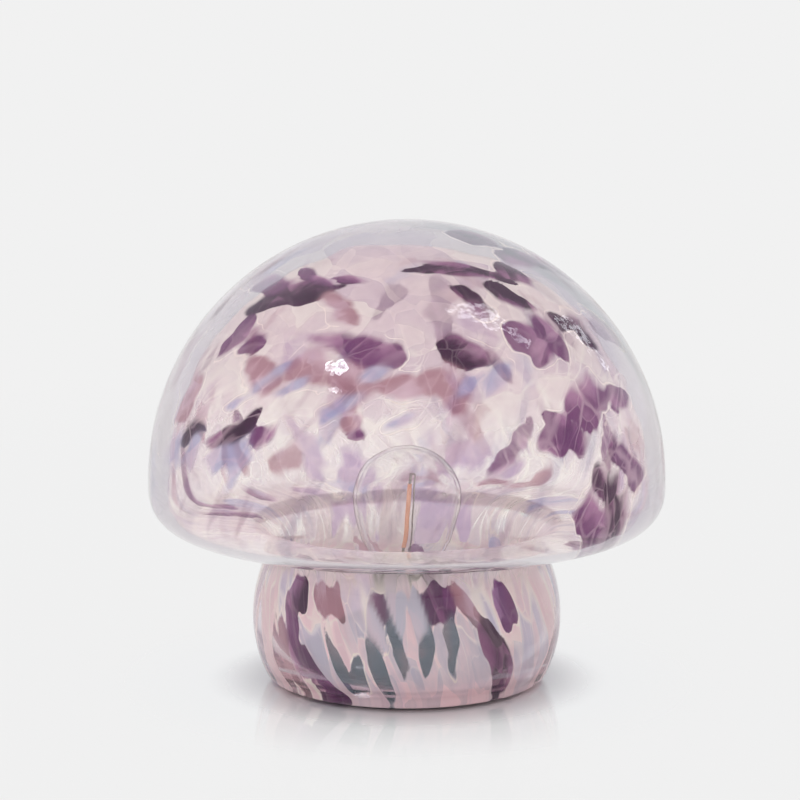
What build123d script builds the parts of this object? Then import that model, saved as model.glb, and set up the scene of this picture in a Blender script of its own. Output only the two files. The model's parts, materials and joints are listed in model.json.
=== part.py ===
# Portable table lamp: a blown glass mushroom body that lifts off a battery light unit.
# Millimetres, +Z up, origin on the table under the lamp's axis, charging socket at the back (+Y).

import os
from math import acos, atan2, degrees, hypot, sqrt

from build123d import *

os.makedirs("parts", exist_ok=True)

# Glass body: cap, neck and stem in one blown piece.
CAP_RADIUS = 80.0
CAP_SIDE_HEIGHT = 14.2
CAP_CORNER_RADIUS = 12.0
CAP_INNER_CORNER_RADIUS = 8.0
CORNER_SHARE = 0.8
DOME_WALL = 5.8
CROWN_WALL = 7.0
FLOOR_WALL = 3.0
UNDERSIDE_RISE = 2.8
NECK_RADIUS = 39.5
NECK_HEIGHT = 46.6
NECK_FILLET = 4.5
NECK_INNER_FILLET = 9.0
STEM_RADIUS = 48.0
STEM_BELLY_HEIGHT = 20.5
STEM_WALL = 4.8
STEM_FOOT_RADIUS = 42.8
STEM_CORNER_RADIUS = 4.0
GLASS_BORE_RADIUS = 35.5
GLASS_BORE_HEIGHT = 3.5
GLASS_BORE_CHAMFER = 0.6
GLASS_BORE_FILLET = 2.0

# Foot ring and base plate.
FOOT_THICKNESS = 1.6
FOOT_LIP_THICKNESS = 0.8
FOOT_LIP_WIDTH = 3.2
FOOT_STEP_CLEARANCE = 0.4
FOOT_RING_INNER_RADIUS = 25.0
FOOT_CHAMFER = 0.2
PLATE_THICKNESS = 1.4

# Housing of the light unit and the soft band round it.
GRIP_CLEARANCE = 0.3
GRIP_THICKNESS = 1.5
GRIP_BAND = 0.7
GRIP_FIT = 0.05
GRIP_HEIGHT = 5.6
GRIP_RIBS = 3
GRIP_RIB_SHARE = 0.35
HOUSING_WALL = 1.6
RIM_HEIGHT = 6.0
RIM_FILLET = 1.5
SHOULDER_RADIUS = 23.5
SHOULDER_HEIGHT = 6.0
SHOULDER_FILLET = 3.0

# Screws: countersunk in the plate and the deck, pan heads under the board.
PLATE_SCREW_RADIUS = 1.25
PLATE_SCREW_HEAD_RADIUS = 2.3
PLATE_SCREW_HEAD_HEIGHT = 1.05
PLATE_SCREW_LENGTH = 6.5
PLATE_BOSS_RADIUS = 2.8
FRONT_BOSS_X = 25.5
FRONT_BOSS_Y = -9.0
REAR_BOSS_X = 21.0
REAR_BOSS_Y = 18.5
TOWER_SCREW_RADIUS = 1.0
TOWER_SCREW_HEAD_RADIUS = 1.9
TOWER_SCREW_HEAD_HEIGHT = 0.9
TOWER_SCREW_LENGTH = 6.0
TOWER_SCREW_CIRCLE = 7.6
TOWER_BOSS_RADIUS = 2.2
TOWER_BOSS_HEIGHT = 6.0
BOARD_SCREW_RADIUS = 0.85
BOARD_SCREW_HEAD_RADIUS = 1.6
BOARD_SCREW_HEAD_HEIGHT = 0.9
BOARD_SCREW_LENGTH = 4.5
BOARD_POST_RADIUS = 2.1
BOARD_POST_X = 9.5
BOARD_POST_Y = 13.5
SCREW_CLEARANCE = 0.1
RECESS_WIDTH = 0.5
RECESS_DEPTH = 0.6

# Battery, its tape, plug and leads.
CELL_LENGTH = 36.0
CELL_WIDTH = 28.0
CELL_THICKNESS = 7.0
CELL_CENTRE_Y = -6.0
CELL_CORNER = 1.5
PAD_THICKNESS = 0.4
PAD_INSET = 2.0
WIRE_RADIUS = 0.55
WIRE_BEND = 2.5
WIRE_SPACING = 1.6
CONNECTOR_X = -14.0
CONNECTOR_Y = 20.0
CONNECTOR_WIDTH = 5.6
CONNECTOR_DEPTH = 4.2
CONNECTOR_HEIGHT = 2.8
CONNECTOR_CHAMFER = 0.35
CELL_LEAD_X = -15.4

# Main board, charging socket and status light.
BOARD_THICKNESS = 1.0
BOARD_GAP = 2.6
BOARD_FRONT_Y = 9.4
BOARD_CLEARANCE = 0.4
SOCKET_WIDTH = 8.94
SOCKET_HEIGHT = 3.26
SOCKET_DEPTH = 7.4
SOCKET_WALL = 0.3
SOCKET_BACK = 1.4
SOCKET_CLEARANCE = 0.15
TONGUE_WIDTH = 6.69
TONGUE_THICKNESS = 0.7
TONGUE_LENGTH = 4.6
PLUG_WIDTH = 12.5
PLUG_HEIGHT = 6.5
PLUG_ROOM = 2.0
NOTCH_CORNER = 4.0
LIGHT_PIPE_RADIUS = 0.8
LIGHT_PIPE_X = 7.3
LIGHT_PIPE_LENGTH = 2.4
STATUS_LED_HEIGHT = 1.6
STATUS_LED_DEPTH = 0.9
STATUS_LED_WIDTH = 2.0

# Push button and its switch.
BUTTON_Y = 18.0
BUTTON_RADIUS = 5.0
BUTTON_CLEARANCE = 0.2
BUTTON_RECESS = 0.5
BUTTON_FLANGE_WIDTH = 1.2
BUTTON_FLANGE_THICKNESS = 0.8
BUTTON_LIFT_GAP = 0.1
BUTTON_POST_RADIUS = 1.5
BUTTON_DISH_DEPTH = 0.35
BUTTON_DISH_SHARE = 0.8
BUTTON_TRAVEL = 0.35
SWITCH_SIDE = 4.5
SWITCH_HEIGHT = 1.0
PLUNGER_RADIUS = 0.9
PLUNGER_CLEARANCE = 0.15
PLUNGER_ENTRY = 0.5
STOP_GAP = 0.05

# Tower and the driver board that stands in it.
TOWER_RADIUS = 11.3
TOWER_HEIGHT = 19.3
TOWER_WALL = 1.6
TOWER_LIP_WIDTH = 1.0
TOWER_LIP_HEIGHT = 1.2
RAIL_THICKNESS = 1.0
RAIL_CLEARANCE = 0.1
RAIL_OVERLAP = 0.7
DRIVER_WIDTH = 16.4
DRIVER_LENGTH = 15.6
DRIVER_THICKNESS = 1.0
DRIVER_Y = 1.0
DRIVER_LIFT = 1.6
COIL_RADIUS = 3.2
COIL_WIDTH = 4.0
COIL_FLANGE = 0.8
COIL_CORE_RADIUS = 2.3
COIL_LIFT = 11.4
LEAD_RADIUS = 0.45
LEAD_BEND = 2.0
LEAD_X = 2.0
LEAD_LAP = 3.0
LEAD_HOLE_WIDTH = 7.0
LEAD_HOLE_HEIGHT = 3.0
LEAD_LANDING_Y = 11.6
LEAD_CLEARANCE_OVER_CELL = 1.4
LAMP_LEAD_X = 5.0

# Bulb glass, its plate and the filament.
BULB_RADIUS = 17.0
BULB_CENTRE_RISE = 23.2
BULB_NECK_RADIUS = 11.2
BULB_WALL = 0.9
SEAL_THICKNESS = 0.25
LAMP_PLATE_THICKNESS = 0.9
LAMP_PLATE_CLEARANCE = 0.2
FILAMENT_FOOT_RISE = 2.4
FILAMENT_FOOT_X = -1.0
FILAMENT_HEAD_X = 1.2
FILAMENT_RISE = 27.2
PHOSPHOR_WIDTH = 1.4
PHOSPHOR_THICKNESS = 1.1
PHOSPHOR_CORNER = 0.5
TAB_LENGTH = 2.8
TAB_WIDTH = 0.9
TAB_THICKNESS = 0.3
FILAMENT_WIRE_RADIUS = 0.25
RETURN_WIRE_FOOT_X = 0.9
RETURN_WIRE_HEAD_X = 2.6
RETURN_WIRE_BEND = 0.7
SOLDER_GAP = 0.05

# Parts on the board: place, then width, depth and height of each.
BOARD_CHIPS = (
    ((5.5, 21.0), (4.0, 4.0, 0.9)),
    ((13.5, 21.0), (5.0, 5.0, 2.4)),
    ((-5.5, 21.5), (3.0, 3.0, 1.1)),
    ((5.0, 15.5), (2.0, 1.3, 1.0)),
    ((-5.0, 15.5), (2.0, 1.3, 1.0)),
    ((16.0, 14.0), (3.2, 1.6, 1.4)),
    ((9.0, 26.0), (1.6, 3.2, 1.2)),
    ((-9.0, 26.0), (1.6, 3.2, 1.2)),
)

# Small parts on the front of the driver board: place across and up it, then width, height and depth.
DRIVER_CHIPS = (
    ((-5.5, 12.5), (2.6, 2.6, 1.1)),
    ((5.5, 12.5), (2.0, 3.2, 1.6)),
    ((-5.0, 7.5), (2.9, 1.6, 1.1)),
    ((5.0, 7.5), (2.0, 1.3, 1.0)),
    ((0.0, 5.5), (3.0, 3.0, 0.9)),
)

# Heights that follow from the sizes above.
GLASS_BOTTOM = FOOT_LIP_THICKNESS
CAP_EDGE_HEIGHT = NECK_HEIGHT + UNDERSIDE_RISE
DOME_CENTRE = CAP_EDGE_HEIGHT + CAP_SIDE_HEIGHT
LAMP_HEIGHT = DOME_CENTRE + CAP_RADIUS
INNER_DOME_RADIUS = CAP_RADIUS - DOME_WALL
INNER_DOME_CENTRE = LAMP_HEIGHT - CROWN_WALL - INNER_DOME_RADIUS
INNER_EDGE_HEIGHT = CAP_EDGE_HEIGHT + FLOOR_WALL
HOUSING_RADIUS = GLASS_BORE_RADIUS - GRIP_CLEARANCE - GRIP_THICKNESS
PLATE_TOP = FOOT_THICKNESS + PLATE_THICKNESS
RIM_TOP = PLATE_TOP + RIM_HEIGHT
DECK_TOP = RIM_TOP + SHOULDER_HEIGHT
DECK_UNDERSIDE = DECK_TOP - HOUSING_WALL
CELL_BOTTOM = PLATE_TOP + PAD_THICKNESS
CELL_TOP = CELL_BOTTOM + CELL_THICKNESS
CELL_REAR_Y = CELL_CENTRE_Y + CELL_WIDTH / 2
BOARD_BOTTOM = PLATE_TOP + BOARD_GAP
BOARD_TOP = BOARD_BOTTOM + BOARD_THICKNESS
SOCKET_Z = (BOARD_BOTTOM + BOARD_TOP) / 2
SOCKET_MOUTH_Y = HOUSING_RADIUS
NOTCH_WIDTH = PLUG_WIDTH + 2 * PLUG_ROOM
NOTCH_TOP = SOCKET_Z + PLUG_HEIGHT / 2 + PLUG_ROOM
TOWER_TOP = DECK_TOP + TOWER_HEIGHT
BULB_BOTTOM = TOWER_TOP + SEAL_THICKNESS
BULB_CENTRE = TOWER_TOP + BULB_CENTRE_RISE
LAMP_PLATE_TOP = TOWER_TOP + LAMP_PLATE_THICKNESS
DRIVER_BOTTOM = DECK_TOP + DRIVER_LIFT

PLATE_SCREW_PLACES = [
    (side * x, y)
    for x, y in ((FRONT_BOSS_X, FRONT_BOSS_Y), (REAR_BOSS_X, REAR_BOSS_Y))
    for side in (-1, 1)
]
BOARD_SCREW_PLACES = [(side * BOARD_POST_X, BOARD_POST_Y) for side in (-1, 1)]
BASE = (Align.CENTER, Align.CENTER, Align.MIN)


def save(piece, name):
    """Label a finished piece and write it under its node's name."""
    piece.part.label = name
    export_step(piece.part, f"parts/{name}.step")


def at_height(places, z):
    """Lift plan positions to one height."""
    return [(x, y, z) for x, y in places]


def round_corner(section, point, radius):
    """Fillet the corner of a section that lies nearest to a point."""
    fillet(section.vertices().sort_by_distance(point)[0], radius)


# Glass body
with BuildPart() as glass_shade:
    with BuildSketch(Plane.XZ) as glass_outside:
        with BuildLine():
            outer_belly = (STEM_RADIUS, STEM_BELLY_HEIGHT)
            foot = Line((0, GLASS_BOTTOM), (STEM_FOOT_RADIUS, GLASS_BOTTOM))
            TangentArc(outer_belly, foot @ 1, tangent=(0, -1))
            TangentArc(outer_belly, (NECK_RADIUS, NECK_HEIGHT), tangent=(0, 1))
            Line((NECK_RADIUS, NECK_HEIGHT), (CAP_RADIUS, CAP_EDGE_HEIGHT))
            Line((CAP_RADIUS, CAP_EDGE_HEIGHT), (CAP_RADIUS, DOME_CENTRE))
            CenterArc((0, DOME_CENTRE), CAP_RADIUS, 0, 90)
            Line((0, LAMP_HEIGHT), (0, GLASS_BOTTOM))
        make_face()
        round_corner(glass_outside, (STEM_FOOT_RADIUS, GLASS_BOTTOM), STEM_CORNER_RADIUS)
        round_corner(glass_outside, (NECK_RADIUS, NECK_HEIGHT), NECK_FILLET)
        round_corner(glass_outside, (CAP_RADIUS, CAP_EDGE_HEIGHT), CAP_CORNER_RADIUS)
    revolve(axis=Axis.Z)
    with BuildSketch(Plane.XZ) as glass_inside:
        with BuildLine():
            inner_belly = (STEM_RADIUS - STEM_WALL, STEM_BELLY_HEIGHT)
            bore_top = (GLASS_BORE_RADIUS, GLASS_BOTTOM + GLASS_BORE_HEIGHT)
            throat = (NECK_RADIUS - STEM_WALL, NECK_HEIGHT + FLOOR_WALL)
            edge = (INNER_DOME_RADIUS, INNER_EDGE_HEIGHT)
            mouth_radius = GLASS_BORE_RADIUS + 2 * GLASS_BORE_CHAMFER
            mouth_height = GLASS_BOTTOM - GLASS_BORE_CHAMFER
            mouth = Line((0, mouth_height), (mouth_radius, mouth_height))
            lead_in = Line(mouth @ 1, (GLASS_BORE_RADIUS, GLASS_BOTTOM + GLASS_BORE_CHAMFER))
            Line(lead_in @ 1, bore_top)
            TangentArc(inner_belly, bore_top, tangent=(0, -1))
            TangentArc(inner_belly, throat, tangent=(0, 1))
            Line(throat, edge)
            Line(edge, (INNER_DOME_RADIUS, INNER_DOME_CENTRE))
            CenterArc((0, INNER_DOME_CENTRE), INNER_DOME_RADIUS, 0, 90)
            Line((0, INNER_DOME_CENTRE + INNER_DOME_RADIUS), mouth @ 0)
        make_face()
        round_corner(glass_inside, bore_top, GLASS_BORE_FILLET)
        round_corner(glass_inside, throat, NECK_INNER_FILLET)
        corner_room = CORNER_SHARE * (INNER_DOME_CENTRE - INNER_EDGE_HEIGHT)
        round_corner(glass_inside, edge, min(CAP_INNER_CORNER_RADIUS, corner_room))
    revolve(axis=Axis.Z, mode=Mode.SUBTRACT)
    # Arched notch at the back of the foot, for the charging plug.
    with BuildSketch(Plane.XZ) as notch:
        Rectangle(NOTCH_WIDTH, 2 * NOTCH_TOP)
        fillet(notch.vertices(), NOTCH_CORNER)
    extrude(amount=-STEM_RADIUS, mode=Mode.SUBTRACT)
save(glass_shade, "glass_shade")

# Foot ring
with BuildPart() as foot_ring:
    lip_radius = GLASS_BORE_RADIUS + FOOT_LIP_WIDTH
    Cylinder(lip_radius, FOOT_LIP_THICKNESS, align=BASE)
    Cylinder(GLASS_BORE_RADIUS - FOOT_STEP_CLEARANCE, FOOT_THICKNESS, align=BASE)
    Cylinder(FOOT_RING_INNER_RADIUS, FOOT_THICKNESS, align=BASE, mode=Mode.SUBTRACT)
    chamfer(foot_ring.edges().group_by(Axis.Z)[0], FOOT_CHAMFER)
save(foot_ring, "foot_ring")

# Base plate
with BuildPart() as base_plate:
    with Locations((0, 0, FOOT_THICKNESS)):
        Cylinder(HOUSING_RADIUS, PLATE_THICKNESS, align=BASE)
    with Locations((0, BUTTON_Y, FOOT_THICKNESS)):
        Cylinder(BUTTON_RADIUS + BUTTON_CLEARANCE, PLATE_THICKNESS, align=BASE, mode=Mode.SUBTRACT)
    with Locations(*at_height(PLATE_SCREW_PLACES, FOOT_THICKNESS)):
        Cylinder(PLATE_SCREW_RADIUS + SCREW_CLEARANCE, PLATE_THICKNESS, align=BASE, mode=Mode.SUBTRACT)
        Cone(
            PLATE_SCREW_HEAD_RADIUS + SCREW_CLEARANCE,
            PLATE_SCREW_RADIUS + SCREW_CLEARANCE,
            PLATE_SCREW_HEAD_HEIGHT,
            align=BASE,
            mode=Mode.SUBTRACT,
        )
save(base_plate, "base_plate")


def countersunk_screws(places, z, radius, head_radius, head_height, length):
    """Screws pointing up, heads flush at height z, each with a cross recess."""
    with BuildPart() as screws:
        with Locations(*at_height(places, z)):
            Cone(head_radius, radius, head_height, align=BASE)
            Cylinder(radius, length, align=BASE)
            Box(RECESS_WIDTH, head_radius, RECESS_DEPTH, align=BASE, mode=Mode.SUBTRACT)
            Box(head_radius, RECESS_WIDTH, RECESS_DEPTH, align=BASE, mode=Mode.SUBTRACT)
    return screws


plate_screws = countersunk_screws(
    PLATE_SCREW_PLACES,
    FOOT_THICKNESS,
    PLATE_SCREW_RADIUS,
    PLATE_SCREW_HEAD_RADIUS,
    PLATE_SCREW_HEAD_HEIGHT,
    PLATE_SCREW_LENGTH,
)
save(plate_screws, "plate_screws")

# Housing: a low drum with a sloped shoulder and a flat deck for the tower.
slope_run = HOUSING_RADIUS - SHOULDER_RADIUS
slope_length = hypot(slope_run, SHOULDER_HEIGHT)
slope_drop = HOUSING_WALL * slope_length / slope_run
slope_rate = SHOULDER_HEIGHT / slope_run
inner_radius = HOUSING_RADIUS - HOUSING_WALL
inner_rim_top = RIM_TOP + HOUSING_WALL * slope_rate - slope_drop
inner_shoulder_radius = HOUSING_RADIUS - (DECK_UNDERSIDE + slope_drop - RIM_TOP) / slope_rate
tower_screw_places = [
    (location.position.X, location.position.Y)
    for location in PolarLocations(TOWER_SCREW_CIRCLE, 3, start_angle=90)
]
with BuildPart() as housing:
    with BuildSketch(Plane.XZ) as housing_outside:
        with BuildLine():
            Polyline(
                (0, PLATE_TOP),
                (HOUSING_RADIUS, PLATE_TOP),
                (HOUSING_RADIUS, RIM_TOP),
                (SHOULDER_RADIUS, DECK_TOP),
                (0, DECK_TOP),
                close=True,
            )
        make_face()
        round_corner(housing_outside, (HOUSING_RADIUS, RIM_TOP), RIM_FILLET)
        round_corner(housing_outside, (SHOULDER_RADIUS, DECK_TOP), SHOULDER_FILLET)
    outside = revolve(axis=Axis.Z)
    with BuildSketch(Plane.XZ):
        with BuildLine():
            Polyline(
                (0, PLATE_TOP),
                (inner_radius, PLATE_TOP),
                (inner_radius, inner_rim_top),
                (inner_shoulder_radius, DECK_UNDERSIDE),
                (0, DECK_UNDERSIDE),
                close=True,
            )
        make_face()
    revolve(axis=Axis.Z, mode=Mode.SUBTRACT)
    # Screw bosses and board posts hang from the roof.
    with Locations(*at_height(PLATE_SCREW_PLACES, PLATE_TOP)):
        Cylinder(PLATE_BOSS_RADIUS, DECK_TOP - PLATE_TOP, align=BASE)
    with Locations(*at_height(BOARD_SCREW_PLACES, BOARD_TOP)):
        Cylinder(BOARD_POST_RADIUS, DECK_TOP - BOARD_TOP, align=BASE)
    add(outside, mode=Mode.INTERSECT)
    with Locations(*at_height(PLATE_SCREW_PLACES, PLATE_TOP)):
        Cylinder(
            PLATE_SCREW_RADIUS + SCREW_CLEARANCE,
            FOOT_THICKNESS + PLATE_SCREW_LENGTH + SCREW_CLEARANCE - PLATE_TOP,
            align=BASE,
            mode=Mode.SUBTRACT,
        )
    with Locations(*at_height(BOARD_SCREW_PLACES, BOARD_TOP)):
        Cylinder(
            BOARD_SCREW_RADIUS + SCREW_CLEARANCE,
            BOARD_SCREW_LENGTH + SCREW_CLEARANCE - BOARD_THICKNESS,
            align=BASE,
            mode=Mode.SUBTRACT,
        )
    # Countersunk holes for the tower screws and a slot for the driver leads.
    with Locations(*at_height(tower_screw_places, DECK_UNDERSIDE)):
        Cylinder(TOWER_SCREW_RADIUS + SCREW_CLEARANCE, HOUSING_WALL, align=BASE, mode=Mode.SUBTRACT)
        Cone(
            TOWER_SCREW_HEAD_RADIUS + SCREW_CLEARANCE,
            TOWER_SCREW_RADIUS + SCREW_CLEARANCE,
            TOWER_SCREW_HEAD_HEIGHT,
            align=BASE,
            mode=Mode.SUBTRACT,
        )
    with BuildSketch(Plane.XY.offset(DECK_UNDERSIDE)):
        with Locations((0, DRIVER_Y + DRIVER_THICKNESS / 2 + LEAD_RADIUS)):
            SlotOverall(LEAD_HOLE_WIDTH, LEAD_HOLE_HEIGHT)
    extrude(amount=HOUSING_WALL, mode=Mode.SUBTRACT)
    # Windows for the charging socket and the status light.
    with BuildSketch(Plane.XZ):
        with Locations((0, SOCKET_Z)):
            SlotOverall(SOCKET_WIDTH + 2 * SOCKET_CLEARANCE, SOCKET_HEIGHT + 2 * SOCKET_CLEARANCE)
        with Locations((LIGHT_PIPE_X, BOARD_TOP + STATUS_LED_HEIGHT / 2)):
            Circle(LIGHT_PIPE_RADIUS + SOCKET_CLEARANCE)
    extrude(amount=-HOUSING_RADIUS, mode=Mode.SUBTRACT)
save(housing, "housing")

# Grip ring: a soft band with rounded ribs that the glass bore slips over.
with BuildPart() as grip_ring:
    band_inner = HOUSING_RADIUS + GRIP_FIT
    rib_radius = GRIP_THICKNESS - GRIP_BAND
    rib_pitch = GRIP_HEIGHT / GRIP_RIBS
    with BuildSketch(Plane.XZ):
        with Locations((band_inner, FOOT_THICKNESS)):
            Rectangle(GRIP_BAND - GRIP_FIT, GRIP_HEIGHT, align=(Align.MIN, Align.MIN))
        rib_heights = [FOOT_THICKNESS + (i + 0.5) * rib_pitch for i in range(GRIP_RIBS)]
        with Locations(*[(HOUSING_RADIUS + GRIP_BAND, height) for height in rib_heights]):
            Ellipse(rib_radius, GRIP_RIB_SHARE * rib_pitch)
        with Locations((0, FOOT_THICKNESS)):
            Rectangle(band_inner, GRIP_HEIGHT, align=(Align.MIN, Align.MIN), mode=Mode.SUBTRACT)
    revolve(axis=Axis.Z)
    with Locations((0, 0, SOCKET_Z - PLUG_HEIGHT / 2)):
        Box(
            NOTCH_WIDTH,
            2 * GLASS_BORE_RADIUS,
            LAMP_HEIGHT,
            align=(Align.CENTER, Align.MIN, Align.MIN),
            mode=Mode.SUBTRACT,
        )
save(grip_ring, "grip_ring")

# Battery and the foam tape under it
with BuildPart() as battery_pad:
    with Locations((0, CELL_CENTRE_Y, PLATE_TOP)):
        Box(CELL_LENGTH - 2 * PAD_INSET, CELL_WIDTH - 2 * PAD_INSET, PAD_THICKNESS, align=BASE)
save(battery_pad, "battery_pad")

with BuildPart() as battery_pack:
    with Locations((0, CELL_CENTRE_Y, CELL_BOTTOM)):
        Box(CELL_LENGTH, CELL_WIDTH, CELL_THICKNESS, align=BASE)
    fillet(battery_pack.edges().filter_by(Axis.X), CELL_CORNER)
save(battery_pack, "battery_pack")

# Main board: a D-shaped board behind the battery, cut out round the socket and the bosses.
socket_front_y = SOCKET_MOUTH_Y - SOCKET_DEPTH
with BuildPart() as main_board:
    with BuildSketch(Plane.XY.offset(BOARD_BOTTOM)):
        Circle(inner_radius - BOARD_CLEARANCE)
        with Locations((0, BOARD_FRONT_Y)):
            Rectangle(
                2 * HOUSING_RADIUS,
                2 * HOUSING_RADIUS,
                align=(Align.CENTER, Align.MAX),
                mode=Mode.SUBTRACT,
            )
        with Locations((0, socket_front_y - SOCKET_CLEARANCE)):
            Rectangle(
                SOCKET_WIDTH + 2 * SOCKET_CLEARANCE,
                HOUSING_RADIUS,
                align=(Align.CENTER, Align.MIN),
                mode=Mode.SUBTRACT,
            )
        with Locations(*PLATE_SCREW_PLACES):
            Circle(PLATE_BOSS_RADIUS + BOARD_CLEARANCE, mode=Mode.SUBTRACT)
        with Locations(*BOARD_SCREW_PLACES):
            Circle(BOARD_SCREW_RADIUS + SCREW_CLEARANCE, mode=Mode.SUBTRACT)
    extrude(amount=BOARD_THICKNESS)
save(main_board, "main_board")

with BuildPart() as board_screws:
    with Locations(*at_height(BOARD_SCREW_PLACES, BOARD_BOTTOM - BOARD_SCREW_HEAD_HEIGHT)):
        Cylinder(BOARD_SCREW_HEAD_RADIUS, BOARD_SCREW_HEAD_HEIGHT, align=BASE)
        Cylinder(BOARD_SCREW_RADIUS, BOARD_SCREW_HEAD_HEIGHT + BOARD_SCREW_LENGTH, align=BASE)
        Box(RECESS_WIDTH, BOARD_SCREW_HEAD_RADIUS, RECESS_DEPTH, align=BASE, mode=Mode.SUBTRACT)
        Box(BOARD_SCREW_HEAD_RADIUS, RECESS_WIDTH, RECESS_DEPTH, align=BASE, mode=Mode.SUBTRACT)
save(board_screws, "board_screws")

# Parts on the board
with BuildPart() as board_parts:
    for (x, y), (width, depth, height) in BOARD_CHIPS:
        with Locations((x, y, BOARD_TOP)):
            Box(width, depth, height, align=BASE)
save(board_parts, "board_parts")

# Battery plug and leads
with BuildPart() as battery_connector:
    with Locations((CONNECTOR_X, CONNECTOR_Y, BOARD_TOP)):
        Box(CONNECTOR_WIDTH, CONNECTOR_DEPTH, CONNECTOR_HEIGHT, align=BASE)
    chamfer(battery_connector.faces().sort_by(Axis.Z)[-1].edges(), CONNECTOR_CHAMFER)
save(battery_connector, "battery_connector")


def wire(points, radius, bend):
    """Round wire along straight runs joined by tangent arcs, square to its first run."""
    with BuildPart() as tube:
        with BuildLine() as path:
            if len(points) > 2:
                FilletPolyline(*points, radius=bend)
            else:
                Line(*points)
        with BuildSketch(Plane(origin=path.line @ 0, z_dir=path.line % 0)):
            Circle(radius)
        sweep(path=path.line)
    return tube


cell_lead_z = BOARD_TOP + CONNECTOR_HEIGHT / 2
connector_front_y = CONNECTOR_Y - CONNECTOR_DEPTH / 2
lead_turn_y = (connector_front_y - CELL_REAR_Y) / 3
for name, side in (("battery_lead_plus", -1), ("battery_lead_minus", 1)):
    start_x = CELL_LEAD_X + side * WIRE_SPACING / 2
    end_x = CONNECTOR_X + side * WIRE_SPACING / 2
    route = [
        (start_x, CELL_REAR_Y, cell_lead_z),
        (start_x, CELL_REAR_Y + lead_turn_y, cell_lead_z),
        (end_x, connector_front_y - lead_turn_y, cell_lead_z),
        (end_x, connector_front_y, cell_lead_z),
    ]
    save(wire(route, WIRE_RADIUS, WIRE_BEND), name)

# Charging socket: steel shell and contact tongue
with BuildPart() as usb_shell:
    with BuildSketch(Plane.XZ.offset(-SOCKET_MOUTH_Y)):
        with Locations((0, SOCKET_Z)):
            SlotOverall(SOCKET_WIDTH, SOCKET_HEIGHT)
            SlotOverall(SOCKET_WIDTH - 2 * SOCKET_WALL, SOCKET_HEIGHT - 2 * SOCKET_WALL, mode=Mode.SUBTRACT)
    extrude(amount=SOCKET_DEPTH)
save(usb_shell, "usb_shell")

with BuildPart() as usb_tongue:
    with BuildSketch(Plane.XZ.offset(-socket_front_y)):
        with Locations((0, SOCKET_Z)):
            SlotOverall(SOCKET_WIDTH - 2 * SOCKET_WALL, SOCKET_HEIGHT - 2 * SOCKET_WALL)
    extrude(amount=-SOCKET_BACK)
    with BuildSketch(Plane.XZ.offset(-(socket_front_y + SOCKET_BACK))):
        with Locations((0, SOCKET_Z)):
            Rectangle(TONGUE_WIDTH, TONGUE_THICKNESS)
    extrude(amount=-TONGUE_LENGTH)
save(usb_tongue, "usb_tongue")

# Status light and its pipe
pipe_end_y = sqrt(HOUSING_RADIUS**2 - (LIGHT_PIPE_X + LIGHT_PIPE_RADIUS) ** 2)
pipe_z = BOARD_TOP + STATUS_LED_HEIGHT / 2
with BuildPart() as light_pipe:
    with BuildSketch(Plane.XZ.offset(-pipe_end_y)):
        with Locations((LIGHT_PIPE_X, pipe_z)):
            Circle(LIGHT_PIPE_RADIUS)
    extrude(amount=LIGHT_PIPE_LENGTH)
save(light_pipe, "light_pipe")

with BuildPart() as status_led:
    with Locations((LIGHT_PIPE_X, pipe_end_y - LIGHT_PIPE_LENGTH, BOARD_TOP)):
        Box(
            STATUS_LED_WIDTH,
            STATUS_LED_DEPTH,
            STATUS_LED_HEIGHT,
            align=(Align.CENTER, Align.MAX, Align.MIN),
        )
save(status_led, "status_led")

# Switch under the board
switch_bottom = BOARD_BOTTOM - SWITCH_HEIGHT
with BuildPart() as tact_switch:
    with Locations((0, BUTTON_Y, switch_bottom)):
        Box(SWITCH_SIDE, SWITCH_SIDE, SWITCH_HEIGHT, align=BASE)
        Cylinder(PLUNGER_RADIUS + PLUNGER_CLEARANCE, SWITCH_HEIGHT, align=BASE, mode=Mode.SUBTRACT)
save(tact_switch, "tact_switch")

# Push button and the switch plunger that it pushes
button_post_top = switch_bottom - BUTTON_TRAVEL - STOP_GAP
flange_bottom = PLATE_TOP + BUTTON_LIFT_GAP
with BuildPart() as push_button:
    with Locations((0, BUTTON_Y, BUTTON_RECESS)):
        Cylinder(BUTTON_RADIUS, flange_bottom - BUTTON_RECESS, align=BASE)
    with Locations((0, BUTTON_Y, flange_bottom)):
        Cylinder(BUTTON_RADIUS + BUTTON_FLANGE_WIDTH, BUTTON_FLANGE_THICKNESS, align=BASE)
        Cylinder(BUTTON_POST_RADIUS, button_post_top - flange_bottom, align=BASE)
    # Shallow finger dish in the face.
    dish_reach = BUTTON_DISH_SHARE * BUTTON_RADIUS
    dish_radius = (dish_reach**2 + BUTTON_DISH_DEPTH**2) / (2 * BUTTON_DISH_DEPTH)
    with Locations((0, BUTTON_Y, BUTTON_RECESS + BUTTON_DISH_DEPTH - dish_radius)):
        Sphere(dish_radius, mode=Mode.SUBTRACT)
save(push_button, "push_button")

with BuildPart() as switch_plunger:
    with Locations((0, BUTTON_Y, button_post_top)):
        Cylinder(PLUNGER_RADIUS, switch_bottom + PLUNGER_ENTRY - button_post_top, align=BASE)
save(switch_plunger, "switch_plunger")

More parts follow.
